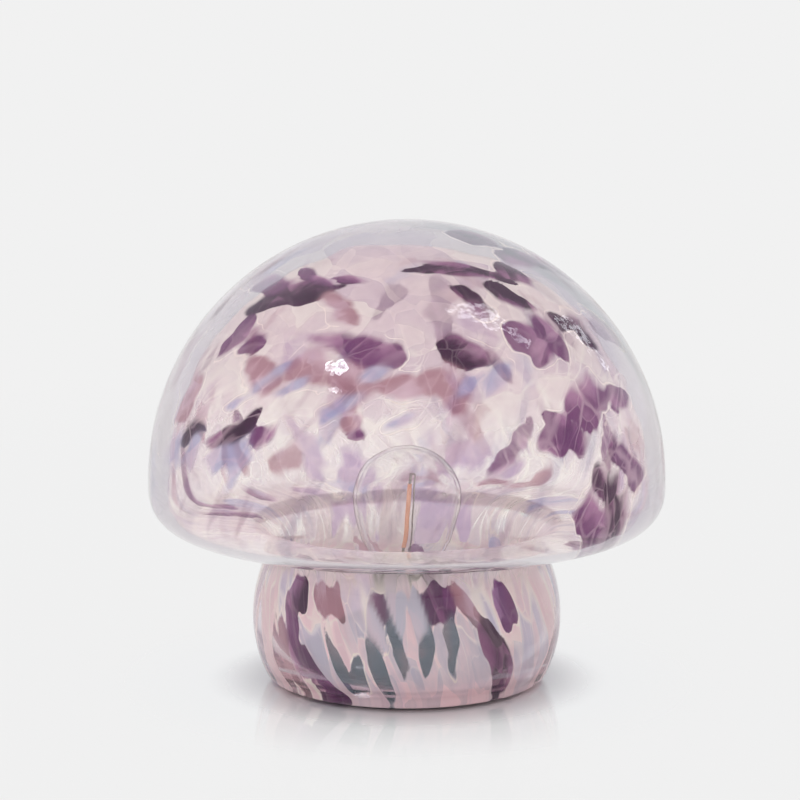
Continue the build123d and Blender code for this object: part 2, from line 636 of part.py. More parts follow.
# Tower: a tube on the deck with screw bosses, rails for the driver board and a lip for the bulb's plate.
tower_inner = TOWER_RADIUS - TOWER_WALL
rail_offset = DRIVER_THICKNESS / 2 + RAIL_CLEARANCE + RAIL_THICKNESS / 2
rail_reach = DRIVER_WIDTH / 2 - RAIL_OVERLAP
with BuildPart() as tower:
    with Locations((0, 0, DECK_TOP)):
        outside = Cylinder(TOWER_RADIUS, TOWER_HEIGHT, align=BASE)
        Cylinder(tower_inner, TOWER_HEIGHT, align=BASE, mode=Mode.SUBTRACT)
    with Locations(*at_height(tower_screw_places, DECK_TOP)):
        Cylinder(TOWER_BOSS_RADIUS, TOWER_BOSS_HEIGHT, align=BASE)
    rails = [
        (side * (rail_reach + TOWER_RADIUS) / 2, DRIVER_Y + face * rail_offset, DRIVER_BOTTOM)
        for side in (-1, 1)
        for face in (-1, 1)
    ]
    with Locations(*rails):
        Box(TOWER_RADIUS - rail_reach, RAIL_THICKNESS, DRIVER_LENGTH, align=BASE)
    with Locations((0, 0, TOWER_TOP - TOWER_LIP_HEIGHT)):
        Cylinder(tower_inner, TOWER_LIP_HEIGHT, align=BASE)
        Cylinder(tower_inner - TOWER_LIP_WIDTH, TOWER_LIP_HEIGHT, align=BASE, mode=Mode.SUBTRACT)
    add(outside, mode=Mode.INTERSECT)
    with Locations(*at_height(tower_screw_places, DECK_TOP)):
        Cylinder(
            TOWER_SCREW_RADIUS + SCREW_CLEARANCE,
            DECK_UNDERSIDE + TOWER_SCREW_LENGTH + SCREW_CLEARANCE - DECK_TOP,
            align=BASE,
            mode=Mode.SUBTRACT,
        )
save(tower, "tower")

tower_screws = countersunk_screws(
    tower_screw_places,
    DECK_UNDERSIDE,
    TOWER_SCREW_RADIUS,
    TOWER_SCREW_HEAD_RADIUS,
    TOWER_SCREW_HEAD_HEIGHT,
    TOWER_SCREW_LENGTH,
)
save(tower_screws, "tower_screws")

# Driver board, its coil and its small parts
driver_front = DRIVER_Y - DRIVER_THICKNESS / 2
driver_rear = DRIVER_Y + DRIVER_THICKNESS / 2
with BuildPart() as driver_board:
    with Locations((0, DRIVER_Y, DRIVER_BOTTOM)):
        Box(DRIVER_WIDTH, DRIVER_THICKNESS, DRIVER_LENGTH, align=BASE)
save(driver_board, "driver_board")

with BuildPart() as driver_coil:
    with BuildSketch(Plane.XZ.offset(-driver_front)):
        with Locations((0, DRIVER_BOTTOM + COIL_LIFT)):
            Circle(COIL_CORE_RADIUS)
    extrude(amount=COIL_WIDTH)
    for flange_y in (driver_front, driver_front - COIL_WIDTH + COIL_FLANGE):
        with BuildSketch(Plane.XZ.offset(-flange_y)):
            with Locations((0, DRIVER_BOTTOM + COIL_LIFT)):
                Circle(COIL_RADIUS)
        extrude(amount=COIL_FLANGE)
save(driver_coil, "driver_coil")

with BuildPart() as driver_parts:
    for (x, rise), (width, height, depth) in DRIVER_CHIPS:
        with Locations((x, driver_front, DRIVER_BOTTOM + rise)):
            Box(width, depth, height, align=(Align.CENTER, Align.MAX, Align.CENTER))
save(driver_parts, "driver_parts")

# Leads from the main board up to the driver board, and from there to the bulb's plate
lead_y = driver_rear + LEAD_RADIUS
lead_cross_z = CELL_TOP + LEAD_CLEARANCE_OVER_CELL
lead_tubes = []
for side in (-1, 1):
    route = [
        (side * LEAD_X, lead_y, DRIVER_BOTTOM + LEAD_LAP),
        (side * LEAD_X, lead_y, lead_cross_z),
        (side * LEAD_X, LEAD_LANDING_Y, lead_cross_z),
        (side * LEAD_X, LEAD_LANDING_Y, BOARD_TOP),
    ]
    lead_tubes.append(wire(route, LEAD_RADIUS, LEAD_BEND).part)
with BuildPart() as driver_leads:
    add(lead_tubes)
save(driver_leads, "driver_leads")

with BuildPart() as lamp_leads:
    lead_bottom = DRIVER_BOTTOM + DRIVER_LENGTH - LEAD_LAP
    with Locations(*[(side * LAMP_LEAD_X, lead_y, lead_bottom) for side in (-1, 1)]):
        Cylinder(LEAD_RADIUS, TOWER_TOP - lead_bottom, align=BASE)
save(lamp_leads, "lamp_leads")

# Bulb plate, seal and glass
bulb_inner_neck = BULB_NECK_RADIUS - BULB_WALL
with BuildPart() as filament_plate:
    with Locations((0, 0, TOWER_TOP)):
        Cylinder(bulb_inner_neck - LAMP_PLATE_CLEARANCE, LAMP_PLATE_THICKNESS, align=BASE)
save(filament_plate, "filament_plate")

with BuildPart() as bulb_seal:
    with Locations((0, 0, TOWER_TOP)):
        Cylinder(BULB_NECK_RADIUS, SEAL_THICKNESS, align=BASE)
        Cylinder(bulb_inner_neck, SEAL_THICKNESS, align=BASE, mode=Mode.SUBTRACT)
save(bulb_seal, "bulb_seal")


def pear(radius, neck_radius):
    """Half section of a pear: a round head and the cone tangent to it, down to the neck."""
    drop = BULB_BOTTOM - BULB_CENTRE
    seam = atan2(drop, neck_radius) + acos(radius / hypot(neck_radius, drop))
    with BuildSketch(Plane.XZ) as section:
        with BuildLine():
            start = degrees(seam)
            head = CenterArc((0, BULB_CENTRE), radius, start, 90 - start)
            Polyline(head @ 1, (0, BULB_BOTTOM), (neck_radius, BULB_BOTTOM), head @ 0)
        make_face()
    return section.sketch


bulb_outside = pear(BULB_RADIUS, BULB_NECK_RADIUS)
bulb_inside = pear(BULB_RADIUS - BULB_WALL, bulb_inner_neck)
with BuildPart() as bulb_envelope:
    revolve(bulb_outside, axis=Axis.Z)
    revolve(bulb_inside, axis=Axis.Z, mode=Mode.SUBTRACT)
save(bulb_envelope, "bulb_envelope")

# Filament: a leaning light-emitting rod with a bare tab at each end
filament_foot = Vector(FILAMENT_FOOT_X, 0, LAMP_PLATE_TOP + FILAMENT_FOOT_RISE)
filament_head = Vector(FILAMENT_HEAD_X, 0, filament_foot.Z + FILAMENT_RISE)
filament_axis = Plane(origin=filament_foot, x_dir=(0, 1, 0), z_dir=filament_head - filament_foot)
filament_length = (filament_head - filament_foot).length
with BuildPart() as led_filament:
    with BuildSketch(filament_axis.offset(TAB_LENGTH)):
        RectangleRounded(PHOSPHOR_THICKNESS, PHOSPHOR_WIDTH, PHOSPHOR_CORNER)
    extrude(amount=filament_length - 2 * TAB_LENGTH)
save(led_filament, "led_filament")

with BuildPart() as filament_tabs:
    for rise in (0, filament_length - TAB_LENGTH):
        with BuildSketch(filament_axis.offset(rise)):
            Rectangle(TAB_THICKNESS, TAB_WIDTH)
        extrude(amount=TAB_LENGTH)
save(filament_tabs, "filament_tabs")

# Leg under the filament and the return wire beside it
return_top = filament_head.Z + FILAMENT_WIRE_RADIUS + SOLDER_GAP
wire_bottom = LAMP_PLATE_TOP + SOLDER_GAP
leg_route = [(FILAMENT_FOOT_X, 0, wire_bottom), (FILAMENT_FOOT_X, 0, filament_foot.Z - SOLDER_GAP)]
leg = wire(leg_route, FILAMENT_WIRE_RADIUS, 0)
return_route = [
    (RETURN_WIRE_FOOT_X, 0, wire_bottom),
    (RETURN_WIRE_HEAD_X, 0, return_top),
    (FILAMENT_HEAD_X - TAB_WIDTH / 2, 0, return_top),
]
return_wire = wire(return_route, FILAMENT_WIRE_RADIUS, RETURN_WIRE_BEND)
with BuildPart() as filament_leads:
    add([leg.part, return_wire.part])
save(filament_leads, "filament_leads")

print("lamp height", round(LAMP_HEIGHT, 1), "bulb top", round(BULB_CENTRE + BULB_RADIUS, 1))
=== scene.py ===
# Looks of a portable table lamp: mottled blown glass over a clear bulb, on a pale studio floor.
# Metres, +Z up, the lamp's axis on Z and its charging notch at the back (+Y).

import json
import math

import bpy
import numpy as np
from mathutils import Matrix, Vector, kdtree, noise


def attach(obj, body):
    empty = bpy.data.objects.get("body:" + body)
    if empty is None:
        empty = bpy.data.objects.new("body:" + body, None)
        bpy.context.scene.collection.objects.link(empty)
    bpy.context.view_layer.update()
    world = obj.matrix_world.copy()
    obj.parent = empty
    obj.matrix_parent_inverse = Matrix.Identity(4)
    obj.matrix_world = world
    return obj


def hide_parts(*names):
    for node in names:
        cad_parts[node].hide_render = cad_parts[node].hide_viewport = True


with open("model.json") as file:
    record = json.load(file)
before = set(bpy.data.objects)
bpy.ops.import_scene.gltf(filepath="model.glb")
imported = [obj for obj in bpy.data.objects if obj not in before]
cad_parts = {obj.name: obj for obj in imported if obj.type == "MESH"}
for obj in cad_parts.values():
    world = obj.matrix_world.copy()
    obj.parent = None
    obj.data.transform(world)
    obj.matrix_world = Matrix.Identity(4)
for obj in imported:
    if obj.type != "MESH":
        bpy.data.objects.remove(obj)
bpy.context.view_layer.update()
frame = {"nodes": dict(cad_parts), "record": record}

# Glass body, outside: places on its half section are (radius, height).
LAMP_HEIGHT = 0.1436
CAP_RADIUS = 0.080
DOME_CENTRE = LAMP_HEIGHT - CAP_RADIUS
CAP_EDGE = (CAP_RADIUS, 0.0494)
CAP_CORNER = 0.012
NECK = (0.0395, 0.0466)
NECK_FILLET = 0.0045
BELLY = (0.048, 0.0205)
GLASS_BOTTOM = 0.0008
FOOT = (0.0428, GLASS_BOTTOM)
FOOT_CORNER = 0.004

# Glass body, inside.
BORE_RADIUS = 0.0355
BORE_CHAMFER = 0.0006
BORE_TOP = (BORE_RADIUS, 0.0043)
BORE_FILLET = 0.002
INNER_BELLY = (0.0432, 0.0205)
THROAT = (0.0347, 0.0496)
THROAT_FILLET = 0.009
INNER_DOME_RADIUS = 0.0742
INNER_DOME_CENTRE = 0.0624
INNER_EDGE = (INNER_DOME_RADIUS, 0.0524)
INNER_CORNER = 0.008

# Notch for the charging plug, at the back of the foot.
NOTCH_WIDTH = 0.0165
NOTCH_TOP = 0.01135
NOTCH_CORNER = 0.004
NOTCH_REACH = (0.6 * BORE_RADIUS, 1.2 * BELLY[0])

# Mesh of the glass.
ARC_POINTS = 120
CORNER_POINTS = 12
RING_STEP = 0.0010
SEGMENTS = 288
BOTTOM_TOLERANCE = 0.0001
SHARP_ANGLE = 40

# Unevenness of blown glass: a finer ripple rides on the broad one, and the outside only dips inwards.
OUTER_WAVE = 0.00008
OUTER_DIP = 0.5
OUTER_SWING = 0.35
INNER_WAVE = 0.00012
WAVE_SIZE = 0.022
FINE_WAVE = 0.4
FINE_WAVE_RATIO = 2.7
STILL_HEIGHT = 0.012

# How the pale chips were drawn out, by the distance travelled from the crown down the inner wall.
TRAVEL_END = 0.222
CHIP_TRAVEL = (0.0, 0.060, 0.122, 0.170, 0.225)
CHIP_SPREAD = (0.0, 0.048, 0.098, 0.078, 0.056)
CHIP_DEPTH = (0.0, 0.0, 0.0, 0.012, 0.030)
CHIP_TWIST = (0.0, 0.0, -0.45, -0.30, 0.10)

# Share of the light that the pale chips hold back, at the back and at the clearer front.
VEIL_TRAVEL = (0.0, 0.053, 0.080, 0.096, 0.114, 0.124, 0.147, 0.165, 0.178, 0.222)
VEIL_BACK = (0.55, 0.56, 0.42, 0.33, 0.27, 0.30, 0.50, 0.75, 0.90, 0.97)
VEIL_FRONT = (0.55, 0.58, 0.40, 0.12, 0.05, 0.10, 0.15, 0.85, 0.92, 0.97)
FRONT_ANGLES = (30, 75)

# Kinds of larger chips: the film's screen colour, the share of the light that it holds back, and the
# colour of what is seen through it.
CHIP_COLOURS = {
    "night": ((66, 20, 60), 0.68, (66, 22, 62)),
    "plum": ((106, 50, 100), 0.54, (140, 80, 134)),
    "wine": ((168, 122, 134), 0.46, (206, 164, 176)),
    "haze": ((182, 156, 186), 0.40, (212, 186, 216)),
    "blue": ((178, 174, 204), 0.42, (208, 206, 230)),
    "lilac": ((206, 200, 214), 0.92, (206, 200, 214)),
    "clear": ((150, 164, 182), 0.24, (232, 236, 240)),
}

# Groups of chips seen from the front: colours, how many, azimuths from the front in degrees (plus is to the
# right), distances from the crown, lengths, widths, and the lean of the length from the meridian.
CHIP_GROUPS = (
    # Dome, from the crown down
    (("night",), 3, (68, 84), (0.018, 0.046), (0.016, 0.018), (0.009, 0.012), 15),
    (("night",), 2, (10, 36), (0.030, 0.036), (0.020, 0.030), (0.004, 0.006), 75),
    (("plum", "night"), 3, (20, 64), (0.037, 0.048), (0.014, 0.020), (0.007, 0.011), 45),
    (("plum",), 3, (-52, -20), (0.027, 0.040), (0.011, 0.017), (0.003, 0.005), 85),
    (("night", "plum"), 2, (-66, -36), (0.044, 0.054), (0.024, 0.030), (0.009, 0.010), -75),
    (("wine",), 2, (-28, -18), (0.045, 0.060), (0.013, 0.014), (0.007, 0.008), 65),
    (("plum",), 2, (-60, -46), (0.060, 0.066), (0.014, 0.016), (0.008, 0.010), -50),
    (("plum",), 1, (-16, -8), (0.060, 0.064), (0.024, 0.027), (0.011, 0.013), 60),
    (("night",), 1, (13, 21), (0.061, 0.065), (0.020, 0.022), (0.010, 0.012), 60),
    (("plum", "night"), 4, (32, 80), (0.060, 0.066), (0.012, 0.018), (0.008, 0.014), 42),
    (("wine",), 5, (-44, 16), (0.067, 0.077), (0.012, 0.021), (0.008, 0.015), 60),
    (("blue",), 8, (-54, 28), (0.070, 0.088), (0.011, 0.018), (0.004, 0.007), -55),
    (("wine",), 1, (-74, -64), (0.082, 0.088), (0.015, 0.017), (0.011, 0.013), -10),
    (("night", "plum"), 4, (-60, -32), (0.088, 0.095), (0.010, 0.018), (0.005, 0.008), -45),
    (("plum", "wine"), 2, (-16, -8), (0.086, 0.092), (0.007, 0.012), (0.005, 0.008), -50),
    (("plum",), 7, (34, 64), (0.082, 0.104), (0.012, 0.020), (0.007, 0.012), 50),
    (("night", "plum"), 2, (44, 53), (0.104, 0.120), (0.021, 0.026), (0.012, 0.018), 25),
    (("haze", "blue"), 4, (-70, -36), (0.096, 0.106), (0.013, 0.021), (0.007, 0.011), -25),
    # Far wall and floor of the cap, seen through the front
    (("plum", "wine", "haze"), 5, (140, 220), (0.118, 0.136), (0.014, 0.018), (0.009, 0.014), 40),
    (("blue", "plum"), 4, (110, 262), (0.140, 0.152), (0.018, 0.022), (0.008, 0.015), 15),
    (("haze", "wine"), 4, (150, 218), (0.147, 0.160), (0.011, 0.025), (0.006, 0.020), 10),
    # Stem
    (("plum", "night", "wine"), 6, (-56, 54), (0.170, 0.174), (0.011, 0.016), (0.004, 0.009), 18),
    (("lilac",), 3, (-16, 8), (0.172, 0.176), (0.013, 0.020), (0.004, 0.006), 10),
    (("clear",), 6, (-34, 22), (0.178, 0.195), (0.014, 0.026), (0.003, 0.005), 18),
    (("wine", "plum"), 4, (-66, -36), (0.178, 0.196), (0.021, 0.031), (0.004, 0.006), 22),
    (("night",), 2, (32, 46), (0.182, 0.194), (0.020, 0.029), (0.005, 0.007), 25),
)
GROUP_JITTER = (0.2, 0.8)
GROUP_LEAN_SCATTER = 10

# Chips of the sides and the back, strewn at random: distances from the crown, how many, lengths and widths.
STREWN_CHIPS = (
    ((0.030, 0.110), 44, (0.012, 0.024), (0.005, 0.011)),
    ((0.096, 0.158), 44, (0.014, 0.024), (0.006, 0.011)),
    ((0.168, 0.205), 20, (0.016, 0.032), (0.004, 0.008)),
)
STREWN_FROM = 78
STREWN_COLOURS = ("plum", "wine", "haze", "blue")
STREWN_SHARES = (0.26, 0.24, 0.32, 0.18)
STREWN_LEAN_SCATTER = 20

# Shape of a chip: a shard with rounded sides, which lies this near to the wall and melts into the next one.
CHIP_SEED = 11
CHIP_SIDES = 5
SIDE_TURN = 0.3
SIDE_REACH = (0.85, 1.15)
CHIP_ROUNDING = 8
CHIP_CURL = 0.012
CHIP_MELT = 9.0
MELT_LIMIT = -2
THICKER_ASIDE = 0.5
THICKER_ALONG = 0.4

# Stretches of the inner wall where one look gives way to the next, as shares of the way from crown to foot.
VEINS_BEGIN = (0.20, 0.42)
WISPS_BEGIN = (0.25, 0.45)
VEINS_CLEAR = (0.30, 0.45)
DOME_END = (0.54, 0.60)
MIRROR_END = (0.62, 0.70)
GLOW_END = (0.68, 0.78)
CHIPS_SHARPEN = (0.70, 0.76)
WISPS_FADE = (0.70, 0.78)
STEM_BEGIN = (0.72, 0.78)
VEINS_END = (0.72, 0.92)
FOOT_BLUSH = (0.84, 0.97)

# Sizes in the mottle: its bends as (size, reach), shards, grain, patches of seams, wavy edges and streaks.
SHARD_DRIFTS = ((0.020, 0.010), (0.006, 0.0016))
SHARD_SIZE = 0.013
FINE_SHARD_SIZE = 0.007
GRAIN_SIZE = 0.004
PATCH_SIZE = 0.016
BROAD_EDGE = 0.010
SMALL_EDGE = 0.0045
STREAK_SIZE = 0.003
WISP_SIZE = 0.007
WISP_HUE_SIZE = 0.018
WISP_DRIFT = ((0.012, 0.006),)
WISP_AROUND = 0.060
WISP_DOWN = 0.055

# Screen colours of the mottle: opal by tone, seams, thin chips, and what is seen through each.
DOME_OPAL = (
    (0.25, (212, 192, 204)),
    (0.42, (230, 211, 217)),
    (0.58, (244, 227, 227)),
    (0.75, (253, 243, 237)),
)
STEM_OPAL = (
    (0.28, (212, 204, 222)),
    (0.42, (232, 214, 224)),
    (0.56, (244, 212, 217)),
)
FLOOR_OPAL = (250, 238, 240)
FOOT_OPAL = (250, 216, 221)
CLEAR_TINT = (253, 251, 251)
OPAL_TINT = (245, 232, 236)
VEIN_COLOUR = (254, 242, 234)
VEIN_TINT = (255, 252, 250)
RIM_COLOUR = (254, 240, 232)
THIN_DARK = (184, 112, 164)
THIN_PALE = (228, 206, 216)
THIN_TINT = (238, 214, 228)
CROSSED_COLOUR = (240, 206, 220)
CROSSED_TINT = (250, 232, 240)
WISP_MAUVE = (172, 132, 158)
WISP_BLUE = (176, 172, 200)

# Clear glass, and how much of the mottle stays where the inner wall mirrors like metal, seen edge on.
GLASS_IOR = 1.47
CASING_TINT = (252, 253, 252)
CASING_RIPPLE = 0.018
MIRROR_VEIL = 0.4
MIRROR_CHIP = 0.6
MIRROR_TINT = (216, 210, 218)
MIRROR_FLOOR_TINT = (248, 243, 246)
BULB_IOR = 1.25
BULB_TINT = (254, 254, 254)
# Painted shade: the bulb's tint where it is seen edge on, which darkens its outline.
BULB_OUTLINE_SHADE = (130, 110, 116)
BULB_LINES = 0.004

# Plain finishes of the light unit: dark and light screen colour, roughness, size of the grain, relief.
PLAIN_FINISHES = {
    "black_plastic": ((26, 26, 29), (40, 40, 44), 0.5, 0.0004, 0.00002),
    "button_plastic": ((58, 58, 62), (74, 74, 78), 0.45, 0.0003, 0.00001),
    "foot_silicone": ((46, 46, 48), (62, 62, 64), 0.75, 0.0006, 0.00002),
    "plate_paint": ((34, 34, 36), (50, 50, 52), 0.55, 0.0005, 0.00004),
    "foam_tape": ((206, 204, 196), (224, 222, 216), 0.9, 0.0005, 0.00006),
    "chip_black": ((22, 22, 24), (36, 36, 38), 0.6, 0.0003, 0.00001),
    "connector_white": ((222, 220, 210), (236, 234, 226), 0.45, 0.0005, 0.0),
    "wire_red": ((150, 24, 24), (176, 36, 34), 0.45, 0.0006, 0.0),
    "wire_black": ((20, 20, 22), (34, 34, 36), 0.45, 0.0006, 0.0),
    "wire_white": ((218, 216, 210), (232, 230, 226), 0.45, 0.0006, 0.0),
    "coil_ferrite": ((48, 46, 48), (70, 66, 66), 0.7, 0.0004, 0.00004),
    "phosphor": ((222, 150, 112), (240, 178, 140), 0.6, 0.0005, 0.00003),
    "seal_silicone": ((206, 206, 204), (224, 224, 222), 0.5, 0.0006, 0.0),
}

# Metals of the light unit: dark and light screen colour, roughness, stretch of the drawn lines on each axis.
BRUSHED_FINISHES = {
    "screw_steel": ((150, 150, 152), (196, 196, 198), 0.3, (1, 1, 4)),
    "cell_foil": ((176, 178, 182), (206, 208, 212), 0.35, (0.2, 2, 2)),
    "socket_steel": ((168, 168, 170), (204, 204, 206), 0.25, (1, 0.2, 1)),
    "switch_steel": ((160, 160, 162), (196, 196, 198), 0.3, (1, 1, 1)),
    "plate_gold": ((176, 142, 78), (214, 184, 120), 0.28, (0.3, 2, 1)),
    "filament_metal": ((128, 122, 116), (168, 162, 154), 0.3, (1, 1, 0.2)),
}
BRUSHED_LINES = 0.0006
BRUSHED_RELIEF = 0.00002
BROAD_GRAIN = 14
BOARD_TRACKS_PER_METRE = 420.0
BOARD_GREEN = (16, 74, 42)
BOARD_TRACK = (52, 128, 78)

# Camera, as the photo was framed.
CAMERA_DISTANCE = 1.0
CAMERA_ELEVATION = math.radians(9.86)
CAMERA_TARGET = Vector((-0.0021, 0.0, 0.0879))
CAMERA_LENS = 145.8

# Light: its level on matte surfaces, the room that shiny and clear ones see by height, and in that room a
# dimmer corner that shows only through the glass.
BACKGROUND = (241, 241, 241)
LIGHT_LEVEL = 1.2
ROOM = ((0.00, BACKGROUND), (0.03, (246, 246, 248)), (0.35, (228, 231, 235)), (0.90, (230, 232, 235)))
CORNER_WAY = (0.19, 0.97, 0.12)
CORNER_SPREAD = (0.968, 0.986)
CORNER_COLOUR = (206, 222, 220)
FILL_STRENGTH = 0.8
FILL_ANGLE = 70
FILL_AZIMUTH = -10
FILL_ELEVATION = 20

# Bright cards that only reflections see: azimuth, elevation, width, height, strength, how broken up.
CARDS = {
    "window": (94, 63, 0.30, 0.66, 7.5, 0.9),
    "far_window": (125, 29, 0.22, 0.45, 4.5, 0.9),
    "opening": (-47, 53, 0.24, 0.17, 26.0, 0.7),
    "low_opening": (-41, 44, 0.13, 0.07, 16.0, 0.6),
}
CARD_DISTANCE = 1.2
CARD_COLOUR = (244, 248, 255)
LEAF_SIZE = 0.05

# Floor: distances from the lamp's axis where its darker matte near the foot (a painted contact shadow), its
# gloss and the floor itself give way.
FLOOR_SIZE = 4.0
FLOOR_DROP = 0.0002
# Darker matte colour of the table near the foot: painted contact shadow.
FLOOR_SHADOW_COLOUR = (192, 192, 194)
FLOOR_SHADE = (0.041, 0.064)
FLOOR_GLOSS = (0.044, 0.100)
FLOOR_FADE = (0.40, 0.60)
LIT_SHARE = 0.97
GLOSS_NEAR = 0.34
GLOSS_FAR = 0.01
GLOSS_ROUGHNESS = 0.04
OPEN_UNDER_FOOT = 0.036


# Half section of the glass


def unit(vector):
    return vector / np.linalg.norm(vector)


def line(start, end):
    return np.array([start, end])


def arc(centre, radius, start, end):
    """Arc of a half section, by its angles from the radius axis."""
    angles = np.linspace(start, end, ARC_POINTS)
    return np.stack([centre[0] + radius * np.cos(angles), centre[1] + radius * np.sin(angles)], axis=1)


def bulge(belly, end):
    """Arc that leaves the belly upright and runs to another place on the half section."""
    inward = belly[0] - end[0]
    rise = end[1] - belly[1]
    radius = (inward**2 + rise**2) / (2 * inward)
    centre = (belly[0] - radius, belly[1])
    return arc(centre, radius, 0, math.atan2(rise, end[0] - centre[0]))


def travel_along(run):
    """Length along a run up to each of its points."""
    return np.concatenate([[0], np.cumsum(np.linalg.norm(np.diff(run, axis=0), axis=1))])


def resample(run, start, end, count):
    """Points spread evenly along a run, between two lengths from its start."""
    wanted = np.linspace(start, end, count)
    return np.stack([np.interp(wanted, travel_along(run), run[:, axis]) for axis in (0, 1)], axis=1)


def round_between(before, after):
    """Round corner from the end of one run to the start of the next."""
    start, end = before[-1], after[0]
    leave = unit(start - before[-2])
    arrive = unit(after[1] - end)
    turn = math.acos(leave @ arrive)
    handle = np.linalg.norm(end - start) * 2 / 3 * math.tan(turn / 4) / math.sin(turn / 2)
    t = np.linspace(0, 1, CORNER_POINTS)[1:-1, None]
    near, far = start + handle * leave, end - handle * arrive
    return (1 - t) ** 3 * start + 3 * (1 - t) ** 2 * t * near + 3 * (1 - t) * t**2 * far + t**3 * end


def chain(*pieces):
    """Join runs into one; the number between two runs is the radius that rounds their corner."""
    runs, radii = pieces[::2], pieces[1::2]
    trims = [0.0]
    for before, after, radius in zip(runs, runs[1:], radii):
        bend = unit(before[-1] - before[-2]) @ unit(after[1] - after[0])
        trims.append(radius * math.tan(math.acos(min(1.0, bend)) / 2))
    trims.append(0.0)
    cut_runs = [
        resample(run, first, travel_along(run)[-1] - last, ARC_POINTS)
        for run, first, last in zip(runs, trims, trims[1:])
    ]
    joined = [cut_runs[0]]
    for before, after, radius in zip(cut_runs, cut_runs[1:], radii):
        if radius:
            joined.append(round_between(before, after))
        joined.append(after)
    return np.concatenate(joined)


def glass_section():
    """Half section of the glass from its crown down the outside, then up the inside."""
    chamfer_start = (BORE_RADIUS + BORE_CHAMFER, GLASS_BOTTOM)
    bore_bottom = (BORE_RADIUS, GLASS_BOTTOM + BORE_CHAMFER)
    section = chain(
        arc((0, DOME_CENTRE), CAP_RADIUS, math.pi / 2, 0),
        0.0,
        line((CAP_RADIUS, DOME_CENTRE), CAP_EDGE),
        CAP_CORNER,
        line(CAP_EDGE, NECK),
        NECK_FILLET,
        bulge(BELLY, NECK)[::-1],
        0.0,
        bulge(BELLY, FOOT),
        FOOT_CORNER,
        line(FOOT, chamfer_start),
        0.0,
        line(chamfer_start, bore_bottom),
        0.0,
        line(bore_bottom, BORE_TOP),
        BORE_FILLET,
        bulge(INNER_BELLY, BORE_TOP)[::-1],
        0.0,
        bulge(INNER_BELLY, THROAT),
        THROAT_FILLET,
        line(THROAT, INNER_EDGE),
        INNER_CORNER,
        line(INNER_EDGE, (INNER_DOME_RADIUS, INNER_DOME_CENTRE)),
        0.0,
        arc((0, INNER_DOME_CENTRE), INNER_DOME_RADIUS, 0, math.pi / 2),
    )
    length = travel_along(section)[-1]
    return resample(section, 0, length, round(length / RING_STEP))


# Mesh of the glass


def link(thing):
    bpy.context.scene.collection.objects.link(thing)
    return thing


def mesh_object(name, places, faces):
    mesh = bpy.data.meshes.new(name)
    mesh.from_pydata(places, [], faces)
    return bpy.data.objects.new(name, mesh)


def wave(place, inside):
    """How far blown glass strays from its true shape at a place; never outwards on the outside."""
    fade = min(1.0, max(0.0, place.z / STILL_HEIGHT - 1))
    ripple = noise.noise(place / WAVE_SIZE) + FINE_WAVE * noise.noise(FINE_WAVE_RATIO * place / WAVE_SIZE)
    if inside:
        return fade * INNER_WAVE * ripple
    return -fade * OUTER_WAVE * (OUTER_DIP + OUTER_SWING * ripple)


def lathe(name, section, inside_from):
    """Closed surface of revolution of a half section that runs from pole to pole."""
    slope = np.gradient(section, axis=0)
    outward = np.stack([-slope[:, 1], slope[:, 0]], axis=1)
    outward /= np.linalg.norm(outward, axis=1)[:, None]
    last = len(section) - 1
    places = [Vector((0, 0, section[0, 1]))]
    for ring in range(1, last):
        radius, height = section[ring]
        for step in range(SEGMENTS):
            angle = 2 * math.pi * step / SEGMENTS
            across = Vector((math.cos(angle), math.sin(angle), 0))
            place = across * radius + Vector((0, 0, height))
            stray = wave(place, ring >= inside_from)
            places.append(place + (across * outward[ring, 0] + Vector((0, 0, outward[ring, 1]))) * stray)
    places.append(Vector((0, 0, section[last, 1])))
    faces = []
    for step in range(SEGMENTS):
        following = (step + 1) % SEGMENTS
        faces.append((0, 1 + step, 1 + following))
        for ring in range(last - 2):
            upper, lower = 1 + ring * SEGMENTS, 1 + (ring + 1) * SEGMENTS
            faces.append((upper + step, lower + step, lower + following, upper + following))
        final = 1 + (last - 2) * SEGMENTS
        faces.append((final + step, len(places) - 1, final + following))
    return link(mesh_object(name, places, faces))


def notch_cutter():
    """Prism with two rounded upper corners, through the back of the foot."""
    half = NOTCH_WIDTH / 2
    outline = chain(
        line((-half, -NOTCH_TOP), (-half, NOTCH_TOP)),
        NOTCH_CORNER,
        line((-half, NOTCH_TOP), (half, NOTCH_TOP)),
        NOTCH_CORNER,
        line((half, NOTCH_TOP), (half, -NOTCH_TOP)),
    )
    count = len(outline)
    places = [(x, depth, z) for depth in NOTCH_REACH for x, z in outline]
    sides = [(i, (i + 1) % count, count + (i + 1) % count, count + i) for i in range(count)]
    ends = [tuple(range(count))[::-1], tuple(range(count, 2 * count))]
    return link(mesh_object("notch_cutter", places, ends + sides))


def cut(piece, cutter):
    """Take the cutter's shape out of a piece for good."""
    modifier = piece.modifiers.new("cut", "BOOLEAN")
    modifier.operation = "DIFFERENCE"
    modifier.object = cutter
    modifier.solver = "EXACT"
    shape = piece.evaluated_get(bpy.context.evaluated_depsgraph_get())
    piece.modifiers.remove(modifier)
    piece.data = bpy.data.meshes.new_from_object(shape)
    bpy.data.objects.remove(cutter)


# Chips in the glass


def srgb(red, green, blue):
    """Linear colour of a screen colour given from 0 to 255."""
    channels = [value / 255 for value in (red, green, blue)]
    linear = [c / 12.92 if c <= 0.04045 else ((c + 0.055) / 1.055) ** 2.4 for c in channels]
    return (*linear, 1.0)


def chip_space(travel, azimuth):
    """Where places on the glass lay among the pale chips before it was blown and drawn out."""
    spread = np.interp(travel, CHIP_TRAVEL, CHIP_SPREAD)
    turn = azimuth - np.interp(travel, CHIP_TRAVEL, CHIP_TWIST)
    depth = np.interp(travel, CHIP_TRAVEL, CHIP_DEPTH)
    return np.stack([spread * np.cos(turn), spread * np.sin(turn), depth], axis=1)


